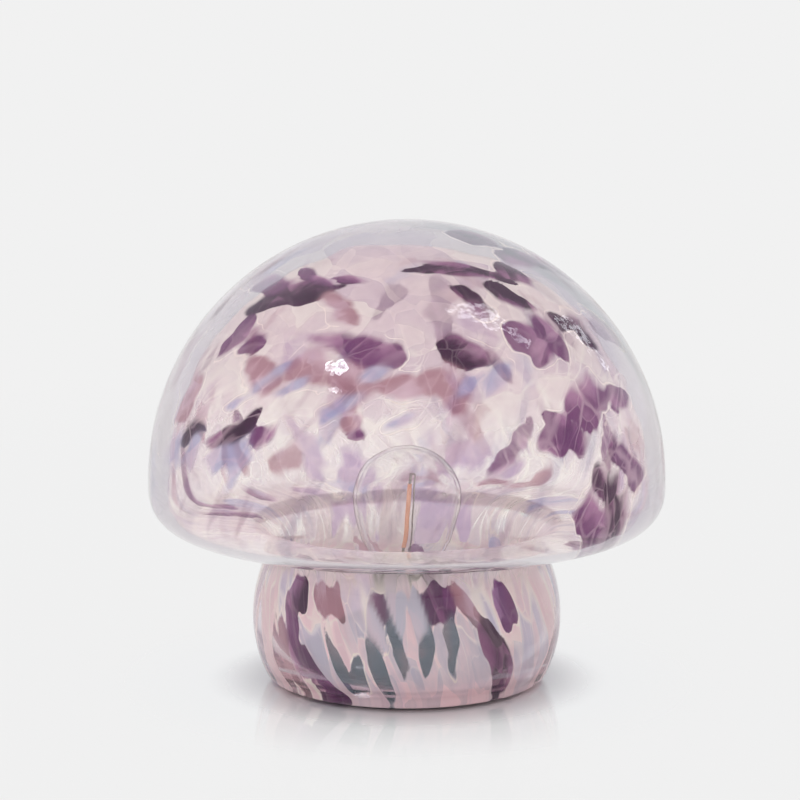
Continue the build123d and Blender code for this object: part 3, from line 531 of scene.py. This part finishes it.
def veil(travel, azimuth):
    """Share of the light that the pale chips hold back at each place."""
    off_front = np.degrees(np.arccos(-np.sin(azimuth)))
    backness = np.interp(off_front, FRONT_ANGLES, (0, 1))
    front, back = (np.interp(travel, VEIL_TRAVEL, marks) for marks in (VEIL_FRONT, VEIL_BACK))
    return front + (back - front) * backness


def all_chips():
    """Every larger chip: colour, azimuth and lean in degrees, distance from the crown, length and width."""
    dice = np.random.default_rng(CHIP_SEED)
    for colours, count, (left, right), reach, lengths, widths, group_lean in CHIP_GROUPS:
        for number in range(count):
            colour = dice.choice(colours)
            azimuth = left + (right - left) * (number + dice.uniform(*GROUP_JITTER)) / count
            lean = dice.normal(group_lean, GROUP_LEAN_SCATTER)
            yield colour, azimuth, lean, dice.uniform(*reach), dice.uniform(*lengths), dice.uniform(*widths)
    for reach, count, lengths, widths in STREWN_CHIPS:
        for _ in range(count):
            colour = dice.choice(STREWN_COLOURS, p=STREWN_SHARES)
            azimuth = dice.uniform(STREWN_FROM, 360 - STREWN_FROM)
            lean = dice.normal(0, STREWN_LEAN_SCATTER)
            yield colour, azimuth, lean, dice.uniform(*reach), dice.uniform(*lengths), dice.uniform(*widths)


def chip_reach(along, aside, dice):
    """How far out places lie in a chip, from 0 at its centre to 1 at its edge: a rounded shard."""
    total = 0.0
    for number in range(CHIP_SIDES):
        facing = 2 * math.pi * (number + dice.uniform(-SIDE_TURN, SIDE_TURN)) / CHIP_SIDES
        side = (along * math.cos(facing) + aside * math.sin(facing)) / dice.uniform(*SIDE_REACH)
        total = total + np.maximum(side, 0) ** CHIP_ROUNDING
    return total ** (1 / CHIP_ROUNDING)


def chip_layers(places, wall, travel):
    """Chips at each place: (depth inside one, 0 at its edge; thickness), film with its hold-back, tint."""
    dice = np.random.default_rng(CHIP_SEED)
    deepest = np.full(len(places), -1.0)
    # Columns: weight, thickness, the film's three colours and its hold-back, the tint's three colours.
    melted = np.zeros((len(places), 9))
    slope = np.gradient(wall, travel, axis=0)
    for colour, azimuth, lean, walked, length, width in all_chips():
        angle = math.radians(azimuth - 90)
        radius, height = (np.interp(walked, travel, wall[:, axis]) for axis in (0, 1))
        outward, down = (np.interp(walked, travel, slope[:, axis]) for axis in (0, 1))
        across = np.array([math.cos(angle), math.sin(angle), 0])
        east = np.array([-math.sin(angle), math.cos(angle), 0])
        south = across * outward + np.array([0, 0, down])
        away = places - (across * radius + np.array([0, 0, height]))
        turn = math.radians(lean)
        along = away @ (south * math.cos(turn) + east * math.sin(turn)) / (length / 2)
        aside = away @ (east * math.cos(turn) - south * math.sin(turn)) / (width / 2)
        lifted = abs(away @ np.cross(south, east)) / CHIP_CURL
        depth = 1 - np.maximum(chip_reach(along, aside, dice), lifted)
        side, tip = dice.choice((-1, 1), 2)
        thickness = np.clip(0.5 + THICKER_ASIDE * side * aside + THICKER_ALONG * tip * along, 0, 1)
        film, hold, tint = CHIP_COLOURS[colour]
        traits = (*srgb(*film)[:3], hold, *srgb(*tint)[:3])
        weight = np.exp(CHIP_MELT * np.maximum(depth, MELT_LIMIT))
        melted[:, 0] += weight
        melted[:, 1] += weight * thickness
        melted[:, 2:] += weight[:, None] * np.array(traits)
        deepest = np.maximum(deepest, depth)
    melted /= melted[:, :1]
    solid = np.ones(len(places))
    shape = np.stack([deepest, melted[:, 1], solid * 0, solid], axis=1)
    return shape, melted[:, 2:6], np.column_stack([melted[:, 6:9], solid])


# The glass as one piece


def section_tree(section):
    """Search tree of the places on the half section."""
    tree = kdtree.KDTree(len(section))
    for index, (radius, height) in enumerate(section):
        tree.insert((radius, 0, height), index)
    tree.balance()
    return tree


def nearest_on(tree, place):
    """The place on the half section that is nearest to a place on the glass: (its number, the gap)."""
    x, y, z = place
    _, index, gap = tree.find((math.hypot(x, y), 0, z))
    return index, gap


def store(mesh, name, kind, channel, values):
    """Keep a value for each vertex of a mesh, for its materials to read."""
    mesh.attributes.new(name, kind, "POINT").data.foreach_set(channel, np.ravel(values))


def lay_chips(mesh, section, inside_from, tree):
    """Store the pale and the coloured chips in the glass, by each vertex's distance from the crown."""
    inner_travel = travel_along(section)[-1] - travel_along(section)
    places = np.array([vertex.co for vertex in mesh.vertices])
    walked = [inner_travel[nearest_on(tree, place)[0]] for place in places]
    azimuth = np.arctan2(places[:, 1], places[:, 0])
    store(mesh, "chip_space", "FLOAT_VECTOR", "vector", chip_space(walked, azimuth))
    store(mesh, "veil", "FLOAT", "value", veil(walked, azimuth))
    layers = chip_layers(places, section[:inside_from:-1], inner_travel[:inside_from:-1])
    for layer, values in zip(("chip_shape", "chip_film", "chip_tint"), layers):
        store(mesh, layer, "FLOAT_COLOR", "color", values)
    store(mesh, "travel", "FLOAT", "value", np.array(walked) / TRAVEL_END)


def make_glass():
    """The blown glass: clear on its outer faces, mottled on its inner ones."""
    section = glass_section()
    inside_from = int(np.argmax(section[:, 1] < GLASS_BOTTOM + BOTTOM_TOLERANCE))
    glass = lathe("blown_glass", section, inside_from)
    cut(glass, notch_cutter())
    mesh = glass.data
    tree = section_tree(section)
    lay_chips(mesh, section, inside_from, tree)
    mesh.materials.clear()
    mesh.materials.append(clear_casing())
    mesh.materials.append(mottled_layer())
    for face in mesh.polygons:
        index, gap = nearest_on(tree, face.center)
        face.material_index = int(index >= inside_from and gap < RING_STEP)
        face.use_smooth = True
    mesh.set_sharp_from_angle(angle=math.radians(SHARP_ANGLE))
    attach(glass, "shade")
    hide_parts("glass_shade")


# Shader building


class Shader:
    """One material and the nodes in it."""

    def __init__(self, name, tree=None):
        if tree is None:
            self.material = bpy.data.materials.new(name)
            self.material.use_nodes = True
            tree = self.material.node_tree
        self.tree = tree
        self.tree.nodes.clear()

    def add(self, kind, inputs=None, **settings):
        """Add a node; inputs are values or other nodes' outputs."""
        node = self.tree.nodes.new(kind)
        for name, value in settings.items():
            setattr(node, name, value)
        for name, value in (inputs or {}).items():
            if isinstance(value, bpy.types.NodeSocket):
                self.tree.links.new(value, node.inputs[name])
            else:
                node.inputs[name].default_value = value
        return node

    def here(self):
        """Place on the object, in metres."""
        return self.add("ShaderNodeTexCoord").outputs["Object"]

    def attribute(self, name):
        """Outputs that give a value stored in the mesh."""
        return self.add("ShaderNodeAttribute", attribute_name=name).outputs

    def channels(self, colour):
        """Red, green and blue of a colour."""
        return self.add("ShaderNodeSeparateColor", {"Color": colour}).outputs

    def math(self, operation, first, second=0.0):
        return self.add("ShaderNodeMath", {0: first, 1: second}, operation=operation).outputs[0]

    def vector(self, operation, first, second=(0, 0, 0), scale=1.0):
        inputs = {0: first, 1: second, 3: scale}
        return self.add("ShaderNodeVectorMath", inputs, operation=operation).outputs[0]

    def length(self, vector):
        return self.add("ShaderNodeVectorMath", {0: vector}, operation="LENGTH").outputs["Value"]

    def stretch(self, vector, scale):
        return self.add("ShaderNodeMapping", {"Vector": vector, "Scale": scale}).outputs["Vector"]

    def noise(self, vector, size, detail=2.0, roughness=0.5):
        """Noise texture with features of about this size."""
        inputs = {"Vector": vector, "Scale": 1 / size, "Detail": detail, "Roughness": roughness}
        return self.add("ShaderNodeTexNoise", inputs).outputs

    def step(self, value, low, high, start=0.0, end=1.0):
        """Smooth step from start to end as the value goes from low to high."""
        inputs = {"Value": value, "From Min": low, "From Max": high, "To Min": start, "To Max": end}
        return self.add("ShaderNodeMapRange", inputs, interpolation_type="SMOOTHSTEP").outputs["Result"]

    def weigh(self, *terms):
        """Sum of (value, weight) terms."""
        total = 0.0
        for value, weight in terms:
            total = self.math("ADD", total, self.math("MULTIPLY", value, weight))
        return total

    def between(self, factor, first, second):
        """Mix two values."""
        return self.add("ShaderNodeMix", {0: factor, 2: first, 3: second}).outputs[0]

    def blend(self, factor, first, second):
        """Mix two colours."""
        return self.add("ShaderNodeMix", {0: factor, 6: first, 7: second}, data_type="RGBA").outputs[2]

    def ramp(self, factor, stops):
        """Colour that changes along a list of (position, screen colour)."""
        node = self.add("ShaderNodeValToRGB", {"Fac": factor})
        marks = node.color_ramp.elements
        while len(marks) < len(stops):
            marks.new(0.5)
        for mark, (position, colour) in zip(marks, stops):
            mark.position = position
            mark.color = srgb(*colour)
        return node.outputs["Color"]

    def mix(self, factor, first, second):
        """Mix two shaders."""
        return self.add("ShaderNodeMixShader", {0: factor, 1: first, 2: second}).outputs[0]

    def bump(self, height, distance, strength=1.0):
        inputs = {"Height": height, "Distance": distance, "Strength": strength}
        return self.add("ShaderNodeBump", inputs).outputs["Normal"]

    def done(self, surface):
        self.add("ShaderNodeOutputMaterial", {"Surface": surface})
        return self.material

    def principled(self, inputs):
        """Finish the material with one principled shader."""
        return self.done(self.add("ShaderNodeBsdfPrincipled", inputs).outputs[0])


# Glass looks


def lets_light_by(shader, surface, tint):
    """A clear surface that casts no dark shadow: to shadow rays it is a tinted gap."""
    gap = shader.add("ShaderNodeBsdfTransparent", {"Color": tint}).outputs[0]
    shadow = shader.add("ShaderNodeLightPath").outputs["Is Shadow Ray"]
    return shader.mix(shadow, surface, gap)


def glass_shader(shader, tint, normal, ior):
    """Clear glass with a slightly uneven face."""
    inputs = {"Color": tint, "Roughness": 0.0, "IOR": ior, "Normal": normal}
    glass = shader.add("ShaderNodeBsdfGlass", inputs).outputs[0]
    return lets_light_by(shader, glass, tint)


def layer_glass(shader, tint, fresnel, travel):
    """Glass under the mottle: what passes takes its tint, what mirrors is lilac, and paler below the dome."""
    inputs = {"Color": tint, "Roughness": 0.0, "IOR": GLASS_IOR}
    through = shader.add("ShaderNodeBsdfRefraction", inputs).outputs[0]
    lilac = shader.blend(shader.step(travel, *DOME_END), srgb(*MIRROR_TINT), srgb(*MIRROR_FLOOR_TINT))
    mirror = shader.add("ShaderNodeBsdfGlossy", {"Color": lilac, "Roughness": 0.0}).outputs[0]
    return lets_light_by(shader, shader.mix(fresnel, through, mirror), tint)


def clear_casing():
    """Clear outer layer, polished, with the slow ripples of blown glass."""
    shader = Shader("clear_casing")
    ripple = shader.noise(shader.here(), CASING_RIPPLE)["Fac"]
    normal = shader.bump(ripple, 0.0002, 0.5)
    return shader.done(glass_shader(shader, srgb(*CASING_TINT), normal, GLASS_IOR))


def bulb_glass():
    """Thin clear bulb glass with faint draw lines, and a painted dark outline: its tint darkens where it is
    seen edge on.
    """
    shader = Shader("bulb_glass")
    lines = shader.noise(shader.stretch(shader.here(), (1, 1, 0.15)), BULB_LINES)["Fac"]
    normal = shader.bump(lines, 0.00003, 0.6)
    facing = shader.add("ShaderNodeLayerWeight", {"Blend": 0.5}).outputs["Facing"]
    # Painted shade: edge on, the tint darkens to draw the bulb's outline.
    tint = shader.blend(shader.step(facing, 0.76, 1.0), srgb(*BULB_TINT), srgb(*BULB_OUTLINE_SHADE))
    return shader.done(glass_shader(shader, tint, normal, BULB_IOR))


def drifted(shader, vector, drifts):
    """Bend a pattern by noise, given as (size, reach) pairs."""
    moved = vector
    for size, reach in drifts:
        centred = shader.vector("SUBTRACT", shader.noise(vector, size)["Color"], (0.5, 0.5, 0.5))
        moved = shader.vector("ADD", moved, shader.vector("SCALE", centred, scale=reach))
    return moved


def cells(shader, place, size):
    """Shards of about one size: (distance to the edge over the size, random value of each shard)."""
    inputs = {"Vector": place, "Scale": 1 / size, "Randomness": 1.0}
    edge = shader.add("ShaderNodeTexVoronoi", inputs, feature="DISTANCE_TO_EDGE").outputs["Distance"]
    colour = shader.add("ShaderNodeTexVoronoi", inputs, feature="F1").outputs["Color"]
    return edge, shader.channels(colour)["Red"]


def veins(shader, edge, fine_edge, travel, patchy):
    """Bright seams between shards, of uneven width and rarer near the crown."""
    seam = shader.step(edge, 0.0, shader.step(patchy, 0.40, 0.70, 0.02, 0.24), 1.0, 0.0)
    fine_seam = shader.step(fine_edge, 0.0, shader.step(patchy, 0.46, 0.70, 0.02, 0.20), 0.7, 0.0)
    vein = shader.math("MAXIMUM", seam, fine_seam)
    return shader.math("MULTIPLY", vein, shader.step(travel, *VEINS_BEGIN, 0.12, 1.0))


def pale_chips(shader, tone, vein, travel):
    """Opal chips, one tone each, with bright veins: (colour, see-through tint, opacity)."""
    in_floor = shader.step(travel, *DOME_END, 0.0, 0.5)
    in_stem = shader.step(travel, *STEM_BEGIN)
    in_foot = shader.step(travel, *FOOT_BLUSH)
    colour = shader.blend(in_floor, shader.ramp(tone, DOME_OPAL), srgb(*FLOOR_OPAL))
    colour = shader.blend(in_stem, colour, shader.ramp(tone, STEM_OPAL))
    colour = shader.blend(in_foot, colour, srgb(*FOOT_OPAL))
    vein = shader.math("MULTIPLY", vein, shader.step(travel, *VEINS_END, 1.0, 0.0))
    colour = shader.blend(vein, colour, srgb(*VEIN_COLOUR))

    body = shader.attribute("veil")["Fac"]
    opacity = shader.math("MULTIPLY", body, shader.step(tone, 0.25, 0.75, 0.8, 1.1))
    bright = shader.math("MINIMUM", body, shader.step(travel, *VEINS_CLEAR, 0.55, 0.22))
    opacity = shader.between(vein, opacity, shader.between(in_stem, bright, 0.95))
    tint = shader.blend(shader.step(body, 0.10, 0.50), srgb(*CLEAR_TINT), srgb(*OPAL_TINT))
    return colour, shader.blend(vein, tint, srgb(*VEIN_TINT)), opacity


def colour_chips(shader, place, shade, vein, travel, patchy):
    """Chips of colour, one edge sharp and one feathered: (mask, bright rim, (colour, tint, opacity))."""
    shape = shader.channels(shader.attribute("chip_shape")["Color"])
    film = shader.attribute("chip_film")
    tint = shader.attribute("chip_tint")["Color"]
    streak = shader.noise(place, STREAK_SIZE, 3.0)["Fac"]
    broad = shader.noise(place, BROAD_EDGE, 0.0)["Fac"]
    small = shader.noise(place, SMALL_EDGE, 0.0)["Fac"]
    bent = shader.weigh((shape["Red"], 1.0), (broad, 1.3), (small, 0.5), (streak, 0.2))

    # The thick side of a chip ends sharply, the thin side and the paler chips fade out.
    pale = shader.step(shader.channels(film["Color"])["Green"], 0.06, 0.25)
    one_sided = shader.step(shape["Green"], 0.1, 0.8, 0.60, 0.09)
    feather = shader.math("MAXIMUM", one_sided, shader.math("MULTIPLY", pale, 0.5))
    feather = shader.math("MULTIPLY", feather, shader.step(travel, *CHIPS_SHARPEN, 1.0, 0.25))
    mask = shader.step(bent, 0.97, shader.math("ADD", 1.0, feather))
    from_edge = shader.math("ABSOLUTE", shader.math("SUBTRACT", bent, 0.94))
    rim = shader.step(from_edge, 0.0, shader.step(patchy, 0.48, 0.70, 0.001, 0.16), 1.0, 0.0)

    # Thin places are lighter, and seams cross the chips faintly.
    thickness = shader.weigh((shape["Green"], 0.6), (shade, 0.5), (streak, 0.5))
    thickness = shader.step(thickness, 0.30, 1.0)
    thinness = shader.step(thickness, 0.0, 1.0, 0.60, 0.0)
    colour = shader.blend(thinness, film["Color"], shader.blend(pale, srgb(*THIN_DARK), srgb(*THIN_PALE)))
    tint = shader.blend(thinness, tint, srgb(*THIN_TINT))
    crossed = shader.math("MULTIPLY", vein, shader.step(travel, *CHIPS_SHARPEN, 0.35, 0.12))
    colour = shader.blend(crossed, colour, srgb(*CROSSED_COLOUR))
    tint = shader.blend(crossed, tint, srgb(*CROSSED_TINT))
    return mask, rim, (colour, tint, film["Alpha"])


def wisps(shader, space, travel):
    """Faint drawn-out streaks of colour: (mask, colour)."""
    round_axis = shader.vector("NORMALIZE", shader.vector("MULTIPLY", space, (1, 1, 0)))
    around = shader.vector("SCALE", round_axis, scale=WISP_AROUND)
    drawn_down = shader.math("MULTIPLY", travel, WISP_DOWN)
    down = shader.add("ShaderNodeCombineXYZ", {"Z": drawn_down}).outputs[0]
    place = drifted(shader, shader.vector("ADD", around, down), WISP_DRIFT)
    streaks = shader.noise(place, WISP_SIZE, 2.0)
    hue = shader.noise(place, WISP_HUE_SIZE, 0.0)["Fac"]
    mask = shader.step(streaks["Fac"], 0.54, 0.70, 0.0, 0.45)
    mask = shader.math("MULTIPLY", mask, shader.step(travel, *WISPS_BEGIN))
    mask = shader.math("MULTIPLY", mask, shader.step(travel, *WISPS_FADE, 1.0, 0.45))
    return mask, shader.blend(shader.step(hue, 0.42, 0.58), srgb(*WISP_MAUVE), srgb(*WISP_BLUE))


def opal_film(shader, colour, travel):
    """The layer's cloudy share: in the cap light shines through it, in the stem less, at the back more."""
    diffuse = shader.add("ShaderNodeBsdfDiffuse", {"Color": colour}).outputs[0]
    glow = shader.add("ShaderNodeBsdfTranslucent", {"Color": colour}).outputs[0]
    backward = shader.add("ShaderNodeSeparateXYZ", {0: shader.here()}).outputs["Y"]
    shining = shader.step(travel, *GLOW_END, 0.55, 0.12)
    shining = shader.between(shader.step(backward, 0.0, 0.02), shining, 0.65)
    return shader.mix(shining, diffuse, glow)


def mottled_layer():
    """Inner layer of the glass: pale opal chips with bright veins, and clearer chips of colour among them."""
    shader = Shader("mottled_layer")
    space = shader.attribute("chip_space")["Vector"]
    travel = shader.attribute("travel")["Fac"]
    place = drifted(shader, space, SHARD_DRIFTS)
    patchy = shader.noise(space, PATCH_SIZE)["Fac"]
    edge, tone = cells(shader, place, SHARD_SIZE)
    fine_edge, fine_tone = cells(shader, place, FINE_SHARD_SIZE)
    vein = veins(shader, edge, fine_edge, travel, patchy)
    grain = shader.noise(place, GRAIN_SIZE)["Fac"]
    mottle = shader.weigh((tone, 0.55), (fine_tone, 0.2), (grain, 0.25))
    pale_colour, pale_tint, pale_opacity = pale_chips(shader, mottle, vein, travel)
    streaked, streak_colour = wisps(shader, space, travel)
    pale_colour = shader.blend(streaked, pale_colour, streak_colour)
    pale_tint = shader.blend(streaked, pale_tint, streak_colour)
    chips = colour_chips(shader, place, fine_tone, vein, travel, patchy)
    mask, rim, (chip_colour, chip_tint, chip_opacity) = chips

    # Seen edge on, the wall of the cap mirrors, and its mottle shows less.
    fresnel = shader.add("ShaderNodeFresnel", {"IOR": GLASS_IOR}).outputs[0]
    edge_on = shader.step(fresnel, 0.4, 0.9)
    mirroring = shader.math("MULTIPLY", edge_on, shader.step(travel, *MIRROR_END, 1.0, 0.0))
    pale_opacity = shader.math("MULTIPLY", pale_opacity, shader.between(mirroring, 1.0, MIRROR_VEIL))
    chip_opacity = shader.math("MULTIPLY", chip_opacity, shader.between(mirroring, 1.0, MIRROR_CHIP))

    # Chips of colour lie over the pale ones, each in a bright rim.
    colour = shader.blend(mask, shader.blend(rim, pale_colour, srgb(*RIM_COLOUR)), chip_colour)
    tint = shader.blend(mask, pale_tint, chip_tint)
    rim_opacity = shader.math("MAXIMUM", pale_opacity, 0.8)
    opacity = shader.between(shader.math("MULTIPLY", rim, 0.5), pale_opacity, rim_opacity)
    opacity = shader.between(mask, opacity, chip_opacity)
    glass = layer_glass(shader, tint, fresnel, travel)
    return shader.done(shader.mix(opacity, glass, opal_film(shader, colour, travel)))


# Looks of the light unit


def plain_finish(name, dark, light, roughness, grain, relief):
    """Opaque finish whose tone, gloss and relief vary with a grain of this size."""
    shader = Shader(name)
    place = shader.here()
    fine = shader.noise(place, grain, 4.0)["Fac"]
    broad = shader.noise(place, BROAD_GRAIN * grain, 2.0)["Fac"]
    tone = shader.weigh((fine, 0.4), (broad, 0.6))
    inputs = {
        "Base Color": shader.blend(tone, srgb(*dark), srgb(*light)),
        "Roughness": shader.step(broad, 0.3, 0.7, 0.85 * roughness, 1.15 * roughness),
    }
    if relief:
        inputs["Normal"] = shader.bump(fine, relief)
    return shader.principled(inputs)


def brushed_finish(name, dark, light, roughness, along):
    """Metal with drawn lines; along stretches them on each axis."""
    shader = Shader(name)
    lines = shader.noise(shader.stretch(shader.here(), along), BRUSHED_LINES, 3.0)["Fac"]
    return shader.principled({
        "Base Color": shader.blend(lines, srgb(*dark), srgb(*light)),
        "Roughness": shader.step(lines, 0.3, 0.7, 0.8 * roughness, 1.2 * roughness),
        "Metallic": 1.0,
        "Normal": shader.bump(lines, BRUSHED_RELIEF),
    })


def board_finish():
    """Green circuit board with paler tracks."""
    shader = Shader("board_green")
    inputs = {"Vector": shader.here(), "Scale": BOARD_TRACKS_PER_METRE}
    tracks = shader.add("ShaderNodeTexVoronoi", inputs, feature="DISTANCE_TO_EDGE").outputs["Distance"]
    colour = shader.blend(shader.step(tracks, 0.04, 0.10), srgb(*BOARD_TRACK), srgb(*BOARD_GREEN))
    return shader.principled({"Base Color": colour, "Roughness": 0.35, "Coat Weight": 0.3})


def clear_plastic():
    """Clear light pipe, a little cloudy."""
    shader = Shader("clear_plastic")
    cloud = shader.noise(shader.here(), 0.0008)["Fac"]
    return shader.principled({
        "Base Color": shader.blend(cloud, srgb(225, 230, 232), srgb(245, 248, 250)),
        "Roughness": shader.step(cloud, 0.3, 0.7, 0.08, 0.2),
        "Transmission Weight": 0.85,
        "IOR": 1.49,
    })


def unit_finishes():
    """Finish of each material slot of the light unit."""
    finishes = {"clear_glass": bulb_glass(), "board_green": board_finish(), "clear_plastic": clear_plastic()}
    for slot, traits in PLAIN_FINISHES.items():
        finishes[slot] = plain_finish(slot, *traits)
    for slot, traits in BRUSHED_FINISHES.items():
        finishes[slot] = brushed_finish(slot, *traits)
    return finishes


def dress_light_unit():
    """Give every solid of the light unit the finish of its slot."""
    finishes = unit_finishes()
    for part in frame["record"]["subparts"]:
        finish = finishes.get(part["material_slot"])
        if finish:
            solid = frame["nodes"][part["node"]]
            solid.data.materials.clear()
            solid.data.materials.append(finish)


# Studio


def rectangle(name, width, depth, height=0.0):
    """Flat rectangle about the origin, facing up."""
    corners = [(x * width / 2, y * depth / 2, height) for x, y in ((-1, -1), (1, -1), (1, 1), (-1, 1))]
    return mesh_object(name, corners, [(0, 1, 2, 3)])


def make_floor():
    """Pale table, glossy near the lamp, that fades away; near the foot a darker matte, a painted contact
    shadow over the real one; open under the foot and to a view from below.
    """
    floor = link(rectangle("floor", FLOOR_SIZE, FLOOR_SIZE, -FLOOR_DROP))
    shader = Shader("floor")
    away = shader.length(shader.here())
    # Near the foot the table is this darker matte: painted contact shadow, over the real shade it gets.
    matte = shader.add("ShaderNodeBsdfDiffuse", {"Color": srgb(*FLOOR_SHADOW_COLOUR)}).outputs[0]
    polish = {"Color": srgb(255, 255, 255), "Roughness": GLOSS_ROUGHNESS}
    gloss = shader.add("ShaderNodeBsdfGlossy", polish).outputs[0]
    lit = shader.add("ShaderNodeEmission", {"Color": srgb(*BACKGROUND)}).outputs[0]
    table = shader.mix(shader.step(away, *FLOOR_SHADE, 0.0, LIT_SHARE), matte, lit)
    table = shader.mix(shader.step(away, *FLOOR_GLOSS, GLOSS_NEAR, GLOSS_FAR), table, gloss)
    open_air = shader.add("ShaderNodeBsdfTransparent").outputs[0]
    below = shader.add("ShaderNodeNewGeometry").outputs["Backfacing"]
    unseen = shader.math("MAXIMUM", shader.step(away, *FLOOR_FADE), below)
    unseen = shader.math("MAXIMUM", unseen, shader.math("LESS_THAN", away, OPEN_UNDER_FOOT))
    floor.data.materials.append(shader.done(shader.mix(unseen, table, open_air)))


def make_world():
    """Even pale light for matte surfaces; shiny and clear ones see a room, the camera the background."""
    world = bpy.data.worlds.new("studio")
    world.use_nodes = True
    bpy.context.scene.world = world
    shader = Shader("studio", world.node_tree)
    rays = shader.add("ShaderNodeLightPath").outputs
    direction = shader.add("ShaderNodeTexCoord").outputs["Generated"]
    upward = shader.add("ShaderNodeSeparateXYZ", {0: direction}).outputs["Z"]
    inputs = {0: direction, 1: CORNER_WAY}
    toward_corner = shader.add("ShaderNodeVectorMath", inputs, operation="DOT_PRODUCT").outputs["Value"]
    corner = shader.step(toward_corner, *CORNER_SPREAD)
    corner = shader.math("MULTIPLY", corner, rays["Is Transmission Ray"])
    room = shader.blend(corner, shader.ramp(upward, ROOM), srgb(*CORNER_COLOUR))
    mirrored = shader.math("MAXIMUM", rays["Is Glossy Ray"], rays["Is Transmission Ray"])
    mirrored = shader.math("MULTIPLY", mirrored, shader.math("LESS_THAN", rays["Diffuse Depth"], 0.5))
    light = shader.blend(mirrored, (LIGHT_LEVEL, LIGHT_LEVEL, LIGHT_LEVEL, 1.0), room)
    seen = shader.blend(rays["Is Camera Ray"], light, srgb(*BACKGROUND))
    background = shader.add("ShaderNodeBackground", {"Color": seen}).outputs[0]
    shader.add("ShaderNodeOutputWorld", {"Surface": background})


def place_at(thing, azimuth, elevation):
    """Hang a thing in a direction from the lamp, facing it; azimuth 0 is the camera's side."""
    a, e = math.radians(azimuth), math.radians(elevation)
    away = Vector((math.sin(a) * math.cos(e), -math.cos(a) * math.cos(e), math.sin(e)))
    thing.location = away * CARD_DISTANCE + Vector((0, 0, DOME_CENTRE))
    thing.rotation_mode = "QUATERNION"
    thing.rotation_quaternion = away.to_track_quat("Z", "Y")
    link(thing)


def reflected_card(name, azimuth, elevation, width, height, strength, broken):
    """Bright card that only reflections see; broken up by noise, as a window behind branches is."""
    card = rectangle(name, width, height)
    place_at(card, azimuth, elevation)
    for ray in ("camera", "diffuse", "transmission", "volume_scatter", "shadow"):
        setattr(card, "visible_" + ray, False)
    shader = Shader(name)
    place = shader.here()
    leaves = shader.noise(place, LEAF_SIZE, 5.0, 0.65)["Fac"]
    light = shader.step(leaves, 0.5 - 0.05 / broken, 0.5 + 0.05 / broken, strength * (1 - broken), strength)
    reach = shader.length(shader.vector("MULTIPLY", place, (2 / width, 2 / height, 0)))
    ragged = shader.noise(place, 0.4 * height, 3.0)["Fac"]
    ragged_reach = shader.weigh((reach, 1.0), (ragged, 3 * broken))
    fade = shader.step(ragged_reach, 0.75 + 1.5 * broken, 0.95 + 1.5 * broken, 1.0, 0.0)
    inputs = {"Color": srgb(*CARD_COLOUR), "Strength": shader.math("MULTIPLY", light, fade)}
    glow = shader.add("ShaderNodeEmission", inputs).outputs[0]
    clear = shader.add("ShaderNodeBsdfTransparent").outputs[0]
    card.data.materials.append(shader.done(shader.mix(fade, clear, glow)))


def make_lights():
    """A soft fill from the camera's side, and the windows and openings that the polished glass mirrors."""
    fill = bpy.data.lights.new("fill", "SUN")
    fill.energy = FILL_STRENGTH
    fill.angle = math.radians(FILL_ANGLE)
    lamp = bpy.data.objects.new("fill", fill)
    lamp.visible_glossy = False
    place_at(lamp, FILL_AZIMUTH, FILL_ELEVATION)
    for name, traits in CARDS.items():
        reflected_card(name, *traits)


def make_camera():
    """Camera where the photo was taken from."""
    data = bpy.data.cameras.new("camera")
    data.lens = CAMERA_LENS
    camera = bpy.data.objects.new("camera", data)
    back = Vector((0, -math.cos(CAMERA_ELEVATION), math.sin(CAMERA_ELEVATION)))
    camera.location = CAMERA_TARGET + back * CAMERA_DISTANCE
    camera.rotation_mode = "QUATERNION"
    camera.rotation_quaternion = back.to_track_quat("Z", "Y")
    bpy.context.scene.camera = link(camera)


make_glass()
dress_light_unit()
make_floor()
make_world()
make_lights()
make_camera()
bpy.context.scene.view_settings.view_transform = "Standard"
